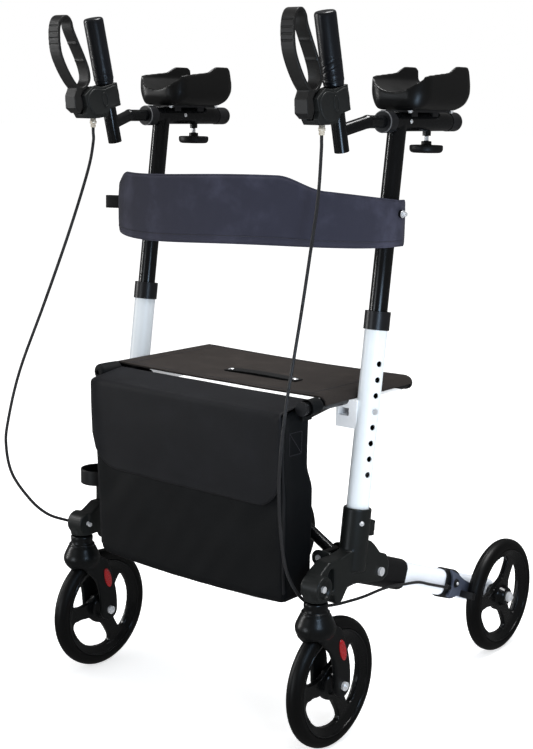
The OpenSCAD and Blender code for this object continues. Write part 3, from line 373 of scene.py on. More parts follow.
@dataclass(frozen=True)
class Rubber(Finish):
    """Rubber or skinned foam: a fine leathery skin, a dusty bloom, and paler edges that are partly rubbed
    wear and partly a painted highlight.
    """

    skin: float = 0.0018
    depth: float = 0.00006
    bloom: float = 0.5
    shine: float = 0.22
    # How much paler the edges are painted: rubbed wear together with a painted edge highlight.
    rubbed: float = 2.0

    def lay(self, bench: Bench) -> None:
        """Adds the finish's own nodes."""
        fine, cloud = bench.speckle(self.skin, 5.0, 0.65), bench.speckle(0.04, 3.0)
        dust = bench.ramp(bench.speckle(0.012, 5.0, 0.7), 0.55, 0.75) * self.bloom
        base = bench.mix(dust, tinted(self.colour, 0.9), tinted(self.colour, 1.7))
        # Paler edges: rubbed wear plus a painted highlight along rims and lips.
        bench.feed("Base Color", bench.mix(bench.edges() * 0.6, base, tinted(self.colour, self.rubbed)))
        bench.feed("Roughness", self.roughness + 0.12 * cloud + 0.10 * dust)
        bench.bump(fine, self.depth, 0.5)
        bench.fix({"Specular IOR Level": self.shine})


@dataclass(frozen=True)
class Steel(Finish):
    """Bright plated steel with fine brush lines."""

    metal: float = 0.45

    def lay(self, bench: Bench) -> None:
        """Adds the finish's own nodes."""
        stretch = {"Vector": bench.places(), "Scale": (30.0, 900.0, 900.0)}
        brushed = bench.node("ShaderNodeMapping", inputs=stretch)
        lines = bench.node("ShaderNodeTexNoise", inputs={"Vector": brushed, "Scale": 1.0, "Detail": 3.0})
        bench.feed("Base Color", bench.mix(lines, tinted(self.colour, 0.85), tinted(self.colour, 1.1)))
        bench.feed("Roughness", self.roughness + 0.12 * lines)
        bench.bump(lines, 0.00002, 0.4)
        bench.fix({"Metallic": self.metal})


@dataclass(frozen=True)
class Cloth(Finish):
    """Woven cloth: threads on the piece's own cloth lengths, colour drift and lint."""

    pitch: float = 0.0012
    lay_of: Lay = Lay.PLAIN
    depth: float = 0.00007
    sheen: float = 0.01
    pale: float = 1.35
    shine: float = 0.1

    def threads(self, bench: Bench) -> Wire:
        """The height of the threads, from 0 to 1."""
        along, across = bench.cloth_places()
        if self.lay_of is Lay.TWILL:
            slant, cross = (along + across).wave(self.pitch), (along - across * 3.0).wave(self.pitch * 0.5)
            return slant * 0.7 + cross * 0.3
        if self.lay_of is Lay.MESH:
            return along.wave(self.pitch) * across.wave(self.pitch)
        over = (along.wave(self.pitch * 2.0) - 0.5) * (across.wave(self.pitch * 2.0) - 0.5)
        warp, weft = along.wave(self.pitch), across.wave(self.pitch)
        side = over > 0.0
        return warp * side + weft * (1.0 - side)

    def lay(self, bench: Bench) -> None:
        """Adds the finish's own nodes."""
        thread = self.threads(bench)
        drift, lint = bench.speckle(0.06, 4.0, 0.6), bench.ramp(bench.speckle(0.0022, 6.0, 0.8), 0.66, 0.8)
        base = bench.mix(thread, tinted(self.colour, 0.6), tinted(self.colour, 1.25))
        rubbed = bench.mix(bench.ramp(drift, 0.45, 0.8), base, tinted(self.colour, self.pale))
        bench.feed("Base Color", bench.mix(lint * 0.35, rubbed, tinted(self.colour, 3.0)))
        bench.feed("Roughness", self.roughness + 0.08 * drift - 0.06 * thread)
        bench.bump(thread + bench.speckle(0.006, 3.0) * 0.8, self.depth, 0.7)
        bench.fix({"Sheen Weight": self.sheen, "Sheen Roughness": 0.4, "Specular IOR Level": self.shine})


@dataclass(frozen=True)
class Jacket(Finish):
    """Ribbed jacket of a brake cable."""

    def lay(self, bench: Bench) -> None:
        """Adds the finish's own nodes."""
        along, around = bench.cloth_places()
        rib = (along + around * 0.5).wave(0.0016)
        cloud = bench.speckle(0.02, 3.0)
        bench.feed("Base Color", bench.mix(cloud, tinted(self.colour, 0.8), tinted(self.colour, 1.5)))
        bench.feed("Roughness", self.roughness + 0.1 * cloud)
        bench.bump(rib, 0.0001, 0.4)
        bench.fix({"Specular IOR Level": 0.2})


@dataclass(frozen=True)
class Reflector(Finish):
    """Red reflector with small prisms under a clear face."""

    def lay(self, bench: Bench) -> None:
        """Adds the finish's own nodes."""
        prism = bench.pebbles(1.0 / 420.0, distance="CHEBYCHEV")
        bench.feed("Base Color", bench.mix(prism, tinted(self.colour, 1.25), tinted(self.colour, 0.6)))
        bench.feed("Roughness", self.roughness + 0.15 * prism)
        bench.bump(prism, 0.0003, 0.5)
        bench.fix({"Coat Weight": 0.8, "Coat Roughness": 0.05})


@dataclass(frozen=True)
class Plaster(Finish):
    """Plain pale studio floor."""

    def lay(self, bench: Bench) -> None:
        """Adds the finish's own nodes."""
        cloud = bench.speckle(1.2, 3.0)
        bench.feed("Base Color", bench.mix(cloud, tinted(self.colour, 0.99), self.colour))
        bench.fix({"Roughness": self.roughness, "Specular IOR Level": 0.1})
        bench.fix({"Emission Color": (1.0, 1.0, 1.0, 1.0), "Emission Strength": 0.6})


BLACK_PAINT = Paint("black_tube_paint", (0.0030, 0.0032, 0.0036), 0.16, shine=0.42)
WHITE_PAINT = Paint("white_tube_paint", (0.78, 0.83, 0.87), 0.28, shine=0.4)
LEG_PAINT = Paint("leg_paint", (0.86, 0.90, 0.97), 0.32, shine=0.4)
CASTING = Moulding("casting_black", (0.0085, 0.0098, 0.0095), 0.33, shine=0.36)
FORK_BLACK = Moulding("fork_black", (0.0030, 0.0034, 0.0036), 0.27, depth=0.00003, shine=0.34)
RIM_BLACK = Moulding("rim_gloss_black", (0.0026, 0.0028, 0.0030), 0.15, depth=0.00001, shine=0.45)
PLASTIC = Moulding("plastic_black", (0.0052, 0.0053, 0.0060), 0.36, shine=0.34)
LEVER_BLACK = Moulding("lever_black", (0.0095, 0.0092, 0.0088), 0.40, depth=0.00004, shine=0.45)
HOUSING_BLACK = Moulding("housing_black", (0.0105, 0.0115, 0.0115), 0.46, grain=0.0009, shine=0.35)
WHITE_PLASTIC = Moulding("saddle_white", (0.80, 0.83, 0.88), 0.40, shine=0.4)
SLATE = Moulding("brake_slate", (0.062, 0.074, 0.110), 0.42, shine=0.4)
# The pad's strong edge factor paints a pale highlight line along its rims and lips.
PAD_SKIN = Rubber(
    "pad_skin", (0.0036, 0.0036, 0.0036), 0.30, skin=0.0014, depth=0.00003, bloom=0.2, shine=0.42, rubbed=8.0
)
GRIP_SKIN = Rubber("grip_skin", (0.0046, 0.0054, 0.0075), 0.26, depth=0.00002, bloom=0.15, shine=0.5)
TYRE_RUBBER = Rubber("tyre_rubber", (0.0022, 0.0022, 0.0022), 0.38, bloom=0.3, shine=0.25)
STEEL = Steel("plated_steel", (0.66, 0.67, 0.69), 0.24)
BRASS = Steel("barrel_plating", (0.72, 0.66, 0.56), 0.24)
SEAT_CLOTH = Cloth("seat_weave", (0.029, 0.0240, 0.0215), 0.88, pitch=0.0013, shine=0.16)
BAG_CLOTH = Cloth("bag_weave", (0.0018, 0.0023, 0.0030), 0.66, pitch=0.0011, shine=0.22)
FLAP_CLOTH = Cloth("flap_weave", (0.0055, 0.0058, 0.0080), 0.64, pitch=0.0011, shine=0.24)
BAND_CLOTH = Cloth("band_mesh", (0.037, 0.038, 0.058), 0.88, pitch=0.0015, lay_of=Lay.MESH, shine=0.16)
WEBBING = Cloth("strap_webbing", (0.007, 0.007, 0.0075), 0.6, pitch=0.0022, lay_of=Lay.TWILL, shine=0.24)
PIPING = Cloth("bound_piping", (0.0075, 0.0075, 0.0085), 0.5, pitch=0.0015, lay_of=Lay.TWILL, shine=0.3)
THREAD = Moulding("sewing_thread", (0.022, 0.022, 0.026), 0.6, grain=0.0004)
CABLE = Jacket("cable_ribbed", (0.017, 0.017, 0.018), 0.24)
RED = Reflector("reflector_red", (0.26, 0.004, 0.006), 0.2)
# A pale grey that paints a highlight: the lit front rim of the arm collar.
HIGHLIGHT_RIM_GREY = Moulding("rubbed_edge", (0.075, 0.076, 0.080), 0.32, shine=0.45)
FLOOR = Plaster("studio_floor", (0.97, 0.97, 0.97), 0.6)


def piece_of(name: str, mesh: Mesh, finish: Finish) -> Object:
    """Makes a finished piece at the origin.

    Args:
        name: The piece's name.
        mesh: Its mesh, with its place in it.
        finish: What it is dressed in.

    Returns:
        The new object.
    """
    mesh.materials.clear()
    mesh.materials.append(finish.make())
    mesh.shade_smooth()
    made = bpy.data.objects.new(name, mesh)
    bpy.context.scene.collection.objects.link(made)
    return made


def settle(made: Object) -> Object:
    """Turns an object's modifiers into a plain mesh and removes them."""
    graph = bpy.context.evaluated_depsgraph_get()
    shown = made.evaluated_get(graph)
    plain = bpy.data.meshes.new_from_object(shown, preserve_all_data_layers=True, depsgraph=graph)
    plain.name = made.name
    old = made.data
    made.modifiers.clear()
    made.data = plain
    bpy.data.meshes.remove(old)
    return made


def mesh_of(
    name: str, points: Iterable[Point], faces: Iterable[Sequence[int]], lengths: Line | None = None
) -> Mesh:
    """A mesh of points and faces.

    Args:
        name: The mesh's name.
        points: Its vertices, in metres.
        faces: Its faces.
        lengths: Each vertex's two cloth lengths in metres, for its cloth UV map.

    Returns:
        The mesh.
    """
    mesh = bpy.data.meshes.new(name)
    mesh.from_pydata([tuple(p) for p in points], [], [tuple(f) for f in faces])
    if lengths is not None:
        layer = mesh.uv_layers.new(name="cloth")
        flat = np.array([lengths[loop.vertex_index] for loop in mesh.loops], np.float32)
        layer.data.foreach_set("uv", flat.ravel())
    mesh.validate()
    return mesh


def outward(mesh: Mesh, merge: float = 1e-6) -> Mesh:
    """Merges a mesh's doubles and turns its faces outward."""
    work = bmesh.new()
    work.from_mesh(mesh)
    bmesh.ops.remove_doubles(work, verts=work.verts, dist=merge)
    bmesh.ops.recalc_face_normals(work, faces=work.faces)
    work.to_mesh(mesh)
    work.free()
    return mesh


def lofted(
    name: str, rings: Sequence[Line], lengths: Sequence[Line] | None = None, closed_end: bool = True
) -> Mesh:
    """Skins a row of closed rings.

    Args:
        name: The mesh's name.
        rings: Rings that all have the same number of points.
        lengths: The cloth lengths of every ring's points.
        closed_end: Whether the last ring is closed, as the first is.

    Returns:
        The mesh, with outward faces.
    """
    count = len(rings[0])
    faces = [
        (i * count + k, i * count + (k + 1) % count, (i + 1) * count + (k + 1) % count, (i + 1) * count + k)
        for i in range(len(rings) - 1)
        for k in range(count)
    ]
    faces.append(tuple(reversed(range(count))))
    if closed_end:
        faces.append(tuple(range((len(rings) - 1) * count, len(rings) * count)))
    points = [p for ring in rings for p in ring]
    flat = [p for row in lengths for p in row] if lengths else None
    return outward(mesh_of(name, points, faces, flat))


def gridded(
    name: str,
    place: Callable[[float, float], Vector],
    size: Callable[[float, float], Point],
    columns: int,
    rows: int,
) -> Mesh:
    """A sheet over a grid of two numbers from 0 to 1.

    Args:
        name: The mesh's name.
        place: Gives a point in metres.
        size: Gives that point's cloth lengths in metres.
        columns: Faces along the first number.
        rows: Faces along the second.

    Returns:
        The open sheet.
    """
    steps = [(i / columns, j / rows) for j in range(rows + 1) for i in range(columns + 1)]
    wide = columns + 1
    faces = [
        (j * wide + i, j * wide + i + 1, (j + 1) * wide + i + 1, (j + 1) * wide + i)
        for j in range(rows)
        for i in range(columns)
    ]
    return mesh_of(name, [place(u, v) for u, v in steps], faces, [size(u, v) for u, v in steps])


def thickened(made: Object, thick: float, offset: float = -1.0, rounding: float = 0.0) -> Object:
    """Gives a sheet its thickness in metres, with rounded rims where rounding is above 0."""
    wall = made.modifiers.new("wall", "SOLIDIFY")
    wall.thickness, wall.offset = thick, offset
    if rounding > 0.0:
        soft = made.modifiers.new("rim", "BEVEL")
        soft.width, soft.segments = rounding, 2
        soft.limit_method, soft.angle_limit = "ANGLE", math.radians(50)
    return settle(made)


def reshape(made: Object, side: Side, change: Callable[..., Axes]) -> None:
    """Moves a piece's points.

    Args:
        made: The piece.
        side: The side that it is on.
        change: Takes and gives x, y and z of the right side, in the walker's millimetres.
    """
    flat = np.empty(len(made.data.vertices) * 3, np.float32)
    made.data.vertices.foreach_get("co", flat)
    x, y, z = flat.reshape(-1, 3).astype(np.float64).T * 1000.0
    x, y, z = change(x * side.value, y + Y_MID, z)
    moved = np.stack([x * side.value, y - Y_MID, z], axis=1) / 1000.0
    made.data.vertices.foreach_set("co", moved.astype(np.float32).ravel())
    made.data.update()


def smooth_path(points: Sequence[Point], steps: int, closed: bool = False) -> list[Vector]:
    """A smooth line through points.

    Args:
        points: The points that it passes.
        steps: Pieces between two of them.
        closed: Whether it returns to its start.

    Returns:
        The points of the line.
    """
    given, count = [Vector(p) for p in points], len(points)
    line = []
    for i in range(count if closed else count - 1):
        near = [(i + k) % count if closed else min(max(i + k, 0), count - 1) for k in (-1, 0, 1, 2)]
        a, b, c, d = (given[k] for k in near)
        bend, twist = 2 * a - 5 * b + 4 * c - d, 3 * b - a - 3 * c + d
        for j in range(steps):
            t = j / steps
            line.append(0.5 * (2 * b + (c - a) * t + bend * t * t + twist * t ** 3))
    return line if closed else line + [given[-1]]


def dent(off: np.ndarray, size: Point) -> np.ndarray:
    """A smooth dent of a depth and half width, at distances from its middle."""
    return size[0] * np.exp(-((off / size[1]) ** 2))


def runs(line: Sequence[Vector]) -> list[float]:
    """The length along a line at each of its points."""
    total, found = 0.0, [0.0]
    for a, b in zip(line, line[1:]):
        total += (b - a).length
        found.append(total)
    return found


class NodeTree:
    """A Geometry Nodes tree with named inputs, built in code."""

    def __init__(self, name: str, **inputs: str) -> None:
        """Starts a tree.

        Args:
            name: The tree's name.
            **inputs: The kind of each input that it has beside its geometry and finish.
        """
        self.tree = bpy.data.node_groups.new(name, "GeometryNodeTree")
        self.tree.is_modifier = True
        self.keys = {}
        sockets = {"Geometry": "Geometry", "Finish": "Material", **inputs}
        for key, kind in sockets.items():
            made = self.tree.interface.new_socket(name=key, in_out="INPUT", socket_type=f"NodeSocket{kind}")
            self.keys[key] = made.identifier
        self.tree.interface.new_socket(name="Geometry", in_out="OUTPUT", socket_type="NodeSocketGeometry")
        self.start = self.tree.nodes.new("NodeGroupInput")
        self.end = self.tree.nodes.new("NodeGroupOutput")

    def given(self, name: str) -> Socket:
        """The socket of a named input."""
        return self.start.outputs[name]

    def add(self, kind: str, links: dict | None = None, settings: dict | None = None) -> Socket:
        """Adds a node.

        Args:
            kind: The node's type.
            links: Sockets or values by input name or number.
            settings: Values of the node's own properties.

        Returns:
            The node's first output.
        """
        made = self.tree.nodes.new(kind)
        for key, value in (settings or {}).items():
            setattr(made, key, value)
        for key, value in (links or {}).items():
            if isinstance(value, Socket):
                self.tree.links.new(value, made.inputs[key])
            else:
                made.inputs[key].default_value = value
        return made.outputs[0]

    def times(self, value: Socket, by: Socket | float) -> Socket:
        """A product of two values."""
        return self.add("ShaderNodeMath", {0: value, 1: by}, {"operation": "MULTIPLY"})

    def curve(self) -> Socket:
        """The guide's lines."""
        return self.add("GeometryNodeMeshToCurve", {"Mesh": self.given("Geometry")})

    def circle(self, steps: str) -> Socket:
        """A circle of the given radius, with as many steps as the named input says."""
        sizes = {"Resolution": self.given(steps), "Radius": self.given("Radius")}
        return self.add("GeometryNodeCurvePrimitiveCircle", sizes)

    def spread(
        self, points: Socket, shape: Socket, way: Socket
    ) -> Socket:
        """Copies of a shape on points, each turned from Z to its way."""
        turn = self.add("FunctionNodeAlignRotationToVector", {"Vector": way}, {"axis": "Z"})
        copies = {"Points": points, "Instance": shape, "Rotation": turn}
        return self.add("GeometryNodeInstanceOnPoints", copies)

    def close(self, geometry: Socket, smooth: bool = True) -> "NodeTree":
        """Ends the tree with real, dressed geometry."""
        made = self.add("GeometryNodeRealizeInstances", {"Geometry": geometry})
        if smooth:
            made = self.add("GeometryNodeSetShadeSmooth", {"Geometry": made})
        dressed = self.add("GeometryNodeSetMaterial", {"Geometry": made, "Material": self.given("Finish")})
        self.tree.links.new(dressed, self.end.inputs[0])
        return self

    def run(self, name: str, mesh: Mesh, finish: Finish, **values: float) -> Object:
        """Makes a plain piece from a guide mesh.

        Args:
            name: The piece's name.
            mesh: The guide that the tree works on.
            finish: What the piece is dressed in.
            **values: The tree's other inputs.

        Returns:
            The piece, with no modifier left.
        """
        made = bpy.data.objects.new(name, mesh)
        bpy.context.scene.collection.objects.link(made)
        modifier = made.modifiers.new("tree", "NODES")
        modifier.node_group = self.tree
        modifier[self.keys["Finish"]] = finish.make()
        for key, value in values.items():
            modifier[self.keys[key]] = value
        return settle(made)


def guide(name: str, lines: Sequence[Line], closed: bool = False) -> Mesh:
    """A mesh of bare lines, for a tree that follows them."""
    points, edges = [], []
    for line in lines:
        first = len(points)
        points += [tuple(p) for p in line]
        edges += [(first + i, first + i + 1) for i in range(len(line) - 1)]
        if closed:
            edges.append((len(points) - 1, first))
    mesh = bpy.data.meshes.new(name)
    mesh.from_pydata(points, edges, [])
    return mesh


def aimed(name: str, spots: Spots) -> Mesh:
    """A mesh of bare points, each with the way that it aims."""
    mesh = bpy.data.meshes.new(name)
    mesh.from_pydata([tuple(p) for p, _ in spots], [], [])
    layer = mesh.attributes.new("aim", "FLOAT_VECTOR", "POINT")
    layer.data.foreach_set("vector", np.array([tuple(a) for _, a in spots], np.float32).ravel())
    return mesh


def stitch_tree() -> NodeTree:
    """Stitches along lines: short rounded threads, one per pitch."""
    made = NodeTree("stitches", Pitch="Float", Length="Float", Thread="Float")
    pitch, length, thread = (made.given(key) for key in ("Pitch", "Length", "Thread"))
    even = made.add("GeometryNodeResampleCurve", {"Curve": made.curve(), "Length": pitch}, {"mode": "LENGTH"})
    sizes = {"Vertices": 6, "Side Segments": 1, "Depth": length}
    sizes |= {"Radius Top": thread, "Radius Bottom": thread}
    shift = made.add("ShaderNodeCombineXYZ", {"Z": made.times(length, -0.5)})
    bar = made.add("GeometryNodeMeshCone", sizes)
    centred = made.add("GeometryNodeTransform", {"Geometry": bar, "Translation": shift})
    return made.close(made.spread(even, centred, made.add("GeometryNodeInputTangent")))


def piping_tree() -> NodeTree:
    """A round cord along lines."""
    made = NodeTree("piping", Radius="Float", Sides="Int")
    tube = {"Curve": made.curve(), "Profile Curve": made.circle("Sides"), "Fill Caps": True}
    return made.close(made.add("GeometryNodeCurveToMesh", tube))


def fastener_tree() -> NodeTree:
    """Bolt or rivet heads on aimed points: a washer with a tapered head on it."""
    made = NodeTree("fasteners", Radius="Float", Height="Float", Sides="Int", Taper="Float")
    radius, height, sides, taper = (made.given(key) for key in ("Radius", "Height", "Sides", "Taper"))
    washer = (24, 1, made.times(radius, 1.35), made.times(radius, 1.2), made.times(height, 0.3))
    head = (sides, 2, radius, made.times(radius, taper), height)
    both = made.add("GeometryNodeJoinGeometry")
    names = ("Vertices", "Side Segments", "Radius Bottom", "Radius Top", "Depth")
    for sizes in (washer, head):
        cone = made.add("GeometryNodeMeshCone", dict(zip(names, sizes)))
        made.tree.links.new(cone, both.node.inputs[0])
    aim = made.add("GeometryNodeInputNamedAttribute", {"Name": "aim"}, {"data_type": "FLOAT_VECTOR"})
    return made.close(made.spread(made.given("Geometry"), both, aim), smooth=False)


def hoop_tree() -> NodeTree:
    """A profile carried round a wheel's axle, which runs along X through the wheel's middle."""
    made = NodeTree("hoop", Radius="Float", Steps="Int", Middle="Vector")
    tube = {"Curve": made.circle("Steps"), "Profile Curve": made.curve()}
    turned = {"Translation": made.given("Middle"), "Rotation": (0.0, math.pi / 2, 0.0)}
    tube = made.add("GeometryNodeCurveToMesh", tube)
    return made.close(made.add("GeometryNodeTransform", {"Geometry": tube, **turned}))


@dataclass
class Workshop:
    """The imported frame, the trees and the small jobs that every sub-assembly needs."""

    frame: dict
    stitches: NodeTree = field(default_factory=stitch_tree)
    piping: NodeTree = field(default_factory=piping_tree)
    fasteners: NodeTree = field(default_factory=fastener_tree)
    hoop: NodeTree = field(default_factory=hoop_tree)

    def dress(self, node: str, finish: Finish) -> None:
        """Gives a CAD node that stays a better material."""
        mesh = self.frame["nodes"][node].data
        mesh.materials.clear()
        mesh.materials.append(finish.make())

    def cast_copy(self, node: str, finish: Finish, voxel: float, rounds: int) -> Object:
        """A copy of a CAD node with the rounded edges of a moulding.

        Args:
            node: The CAD node.
            finish: What the copy is dressed in.
            voxel: The size of its new faces in metres.
            rounds: How far its edges are eased.

        Returns:
            The piece, which stands for the node.
        """
        mesh = outward(self.frame["nodes"][node].data.copy(), 1e-5)
        made = piece_of(f"{node}_moulded", mesh, finish)
        cells = made.modifiers.new("cells", "REMESH")
        cells.mode, cells.voxel_size, cells.use_smooth_shade = "VOXEL", voxel, True
        ease = made.modifiers.new("ease", "SMOOTH")
        ease.factor, ease.iterations = 0.5, rounds
        settle(made)
        made.data.shade_smooth()
        if not made.data.materials:
            made.data.materials.append(finish.make())
        return self.stand_for(made, node)

    def stand_for(self, made: Object, *nodes: str) -> Object:
        """Lets a piece stand for CAD nodes, and ride where the first of them rides."""
        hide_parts(*nodes)
        slots = {s["node"]: s["material_slot"] for s in self.frame["record"]["subparts"]}
        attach(made, self.body_of(nodes[0]))
        return self.note(made)

    def body_of(self, node: str) -> str:
        """The body that a CAD node is in."""
        return self.frame["nodes"][node]["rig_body"]

    def carry(self, made: Object, body: str) -> Object:
        """Lets an extra piece ride on a body."""
        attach(made, body)
        return self.note(made)

    def note(self, made: Object) -> Object:
        """Reports a piece."""
        LOG.info("%s: %d faces", made.name, len(made.data.polygons) if made.type == "MESH" else 0)
        return made

    def sew(self, name: str, lines: Sequence[Line]) -> Object:
        """Rows of stitches along lines."""
        sizes = {"Pitch": 0.0042, "Length": 0.0030, "Thread": 0.00045}
        return self.stitches.run(name, guide(name, lines), THREAD, **sizes)

    def pipe(
        self, name: str, lines: Sequence[Line], radius: float, finish: Finish = PIPING, closed: bool = False
    ) -> Object:
        """A round cord along lines."""
        return self.piping.run(name, guide(name, lines, closed), finish, Radius=radius, Sides=10)

    def bolt(
        self, name: str, spots: Spots, radius: float, height: float, sides: int, taper: float, finish: Finish
    ) -> Object:
        """Bolt heads on aimed points."""
        sizes = {"Radius": radius, "Height": height, "Sides": sides, "Taper": taper}
        return self.fasteners.run(name, aimed(name, spots), finish, **sizes)

    def fasten(
        self, name: str, spots: Spots, size: Point, body: str, sides: int = 6, taper: float = 0.85
    ) -> None:
        """Bright bolt heads of a radius and height, which ride on a body."""
        self.carry(self.bolt(name, spots, *size, sides, taper, STEEL), body)


@dataclass
class Studio:
    """Camera, floor and light."""

    camera_place: Point = (1.4206, -1.9006, 0.9656)
    yaw: float = 0.6701
    pitch: float = 0.1779
    roll: float = 0.0179
    focal_px: float = 1409.26
    middle_px: Point = (267.22, 356.17)
    image_px: Point = (533.0, 749.0)
    soft_air: float = 0.55
    gloss_air: float = 0.12

    def camera(self) -> None:
        """Stands the camera where the photograph was taken from."""
        right = Vector((math.cos(self.yaw), math.sin(self.yaw), 0.0))
        level = math.cos(self.pitch)
        ahead = Vector((-math.sin(self.yaw) * level, math.cos(self.yaw) * level, -math.sin(self.pitch)))
        up = right.cross(ahead)
        c, s = math.cos(self.roll), math.sin(self.roll)
        across, upward = c * right + s * up, c * up - s * right
        turn = Matrix((across, upward, -ahead)).transposed()
        lens = bpy.data.cameras.new("photo_camera")
        side = max(self.image_px)
        lens.sensor_width, lens.lens = 36.0, self.focal_px * 36.0 / side
        lens.shift_x = (self.image_px[0] / 2 - self.middle_px[0]) / side
        lens.shift_y = (self.middle_px[1] - self.image_px[1] / 2) / side
        made = bpy.data.objects.new("photo_camera", lens)
        made.matrix_world = Matrix.Translation(self.camera_place) @ turn.to_4x4()
        bpy.context.scene.collection.objects.link(made)
        bpy.context.scene.camera = made

    def floor(self) -> None:
        """Lays a wide pale floor."""
        corners = [(x, y, -0.0005) for x, y in ((-40, -40), (40, -40), (40, 40), (-40, 40))]
        made = piece_of("studio_floor", mesh_of("studio_floor", corners, [(0, 1, 2, 3)]), FLOOR)
        made.visible_glossy = False

    def lamp(
        self,
        name: str,
        place: Point,
        size: Point,
        radiance: float,
        tint: Colour = (1.0, 1.0, 1.0),
        throw: Throw = Throw.ALL,
    ) -> None:
        """Hangs one soft box that faces the walker.

        Args:
            name: The lamp's name.
            place: Where it hangs.
            size: How wide and tall it is.
            radiance: How bright its face is.
            tint: Its colour.
            throw: What it gives.
        """
        light = bpy.data.lights.new(name, "AREA")
        light.shape, light.size, light.size_y = "RECTANGLE", size[0], size[1]
        light.energy, light.color = radiance * math.pi * size[0] * size[1], tint
        made = bpy.data.objects.new(name, light)
        aim = Vector((0.0, 0.0, 0.6)) - Vector(place)
        made.matrix_world = Matrix.Translation(place) @ aim.to_track_quat("-Z", "Y").to_matrix().to_4x4()
        made.visible_diffuse, made.visible_glossy = throw.value
        made.visible_camera = False
        bpy.context.scene.collection.objects.link(made)

    def air(self) -> None:
        """Surrounds the walker with white air, which is softer as light and a dim room to gloss."""
        world = bpy.data.worlds.new("studio_air")
        world.use_nodes = True
        tree = world.node_tree
        path = tree.nodes.new("ShaderNodeLightPath")
        seen = tree.nodes["Background"].outputs[0]
        tree.nodes["Background"].inputs["Color"].default_value = (*(self.soft_air,) * 3, 1.0)
        for ray, strength in (("Is Camera Ray", 1.0), ("Is Glossy Ray", self.gloss_air)):
            other, blend = tree.nodes.new("ShaderNodeBackground"), tree.nodes.new("ShaderNodeMixShader")
            other.inputs["Color"].default_value = (strength, strength, strength, 1.0)
            for source, socket in ((path.outputs[ray], 0), (seen, 1), (other.outputs[0], 2)):
                tree.links.new(source, blend.inputs[socket])
            seen = blend.outputs[0]
        tree.links.new(seen, tree.nodes["World Output"].inputs["Surface"])
        bpy.context.scene.world = world

    def light(self) -> None:
        """Lights the walker softly all round, with soft boxes beside the camera, to the left and above."""
        self.air()
        self.lamp("camera_box", (1.30, -1.00, 0.80), (0.30, 1.4), 5.6, (0.72, 0.86, 1.0), Throw.FILL)
        self.lamp("grip_card", (0.74, -0.58, 0.60), (0.20, 0.24), 12.0, (0.55, 0.75, 1.0), Throw.GLOSS)
        self.lamp("left_card", (-0.74, -2.95, 0.45), (0.8, 1.0), 5.5, (0.86, 0.93, 1.0), Throw.GLOSS)
        self.lamp("left_strip", (-2.47, -1.50, 1.3), (0.16, 2.4), 30.0, throw=Throw.GLOSS)
        self.lamp("top_box", (0.3, 0.2, 3.2), (1.2, 1.2), 19.0)
        bpy.context.scene.view_settings.view_transform = "Standard"


@dataclass
class BrakeCables:
    """The two brake cables, each in two lengths that meet beside the post."""

    diameter: float = 0.005
    top: Sequence[Point] = ((228, -30.06, 921.66), (228, -30.06, 913.96), (228, -30.06, 897.96))
    down_left: Sequence[Point] = (
        (226, -44, 854), (236, -75, 760), (263, -105, 645), (298, -130, 529), (317, -140, 444),
        (323, -140, 400), (320, -130, 350), (303, -105, 303), (288, -80, 276), (280, -42, 258),
        (274, 0, 240), (264, 40, 222), (252, 75, 209), (240, 110, 204),
    )
    down_right: Sequence[Point] = (
        (227, -34, 831), (225, -47, 753), (223, -61, 675), (221, -76, 600), (218, -86, 540),
        (215, -93, 470), (213, -93, 410), (212, -84, 340), (211, -68, 285), (212, -42, 245),
        (216, -20, 225), (220, 8, 213), (223, 40, 207), (226, 75, 204), (230, 110, 203),
    )
    along_leg: Sequence[Point] = ((233, 150, 204), (232, 190, 200), (230, 223, 193))
    stop: Point = (18.9, -159.0, -6.0)
    meet: int = 5
    low: int = 10
    steps: int = 6

    def route(self, side: Side) -> list[Vector]:
        """The points that one cable passes, from its barrel to the brake."""
        down = self.down_left if side is Side.LEFT else self.down_right
        ends = [on_leg(self.stop[0], self.stop[1] - d, self.stop[2]) for d in (100, 60, 20, -1)]
        points = [at(*p) for p in (*self.top, *down, *self.along_leg)] + ends
        return [side.of(p) for p in points]

    def tube(self, name: str, line: Sequence[Vector]) -> Object:
        """A round tube along a line, with its lengths for the ribbed jacket.

        Args:
            name: The piece's name.
            line: Its centre line.

        Returns:
            The piece.
        """
        far, angles = runs(line), turns(12)
        rings, lengths = [], []
        u = Vector((1, -1, 1)).cross(line[1] - line[0]).normalized()
        for i, p in enumerate(line):
            t = (line[min(i + 1, len(line) - 1)] - line[max(i - 1, 0)]).normalized()
            u = (u - t * u.dot(t)).normalized()
            v = t.cross(u)
            rings.append([p + self.diameter / 2 * (u * math.cos(a) + v * math.sin(a)) for a in angles])
            lengths.append([(far[i], a * self.diameter / 2) for a in angles])
        return piece_of(name, lofted(name, rings, lengths), CABLE)

    def build(self, shop: Workshop) -> None:
        """Makes both cables, each cut into an upper and a lower length, and bakes their places into their
        meshes.
        """
        for side in Side:
            points = self.route(side)
            line = smooth_path(points, self.steps)
            frame, post, handle = f"frame_{side.tag}", f"post_{side.tag}", f"handle_{side.tag}"
            cut = self.meet * self.steps
            upper, lower = line[: cut + 1], line[cut:]
            for word, part, bodies, start, end, leaves in (
                ("upper", upper, (post, handle), upper[-1], upper[0], upper[0]),
                ("lower", lower, (frame, post), points[self.low], lower[0], lower[-1]),
            ):
                made = self.tube(f"brake_cable_{word}_{side.tag}", part)
                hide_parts(f"brake_cable_{side.tag}")
                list(bodies)
                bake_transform(made)
                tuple(start)
                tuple(end)
                round(runs(part)[-1], 3)
                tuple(leaves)
                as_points(part)
                shop.note(made)


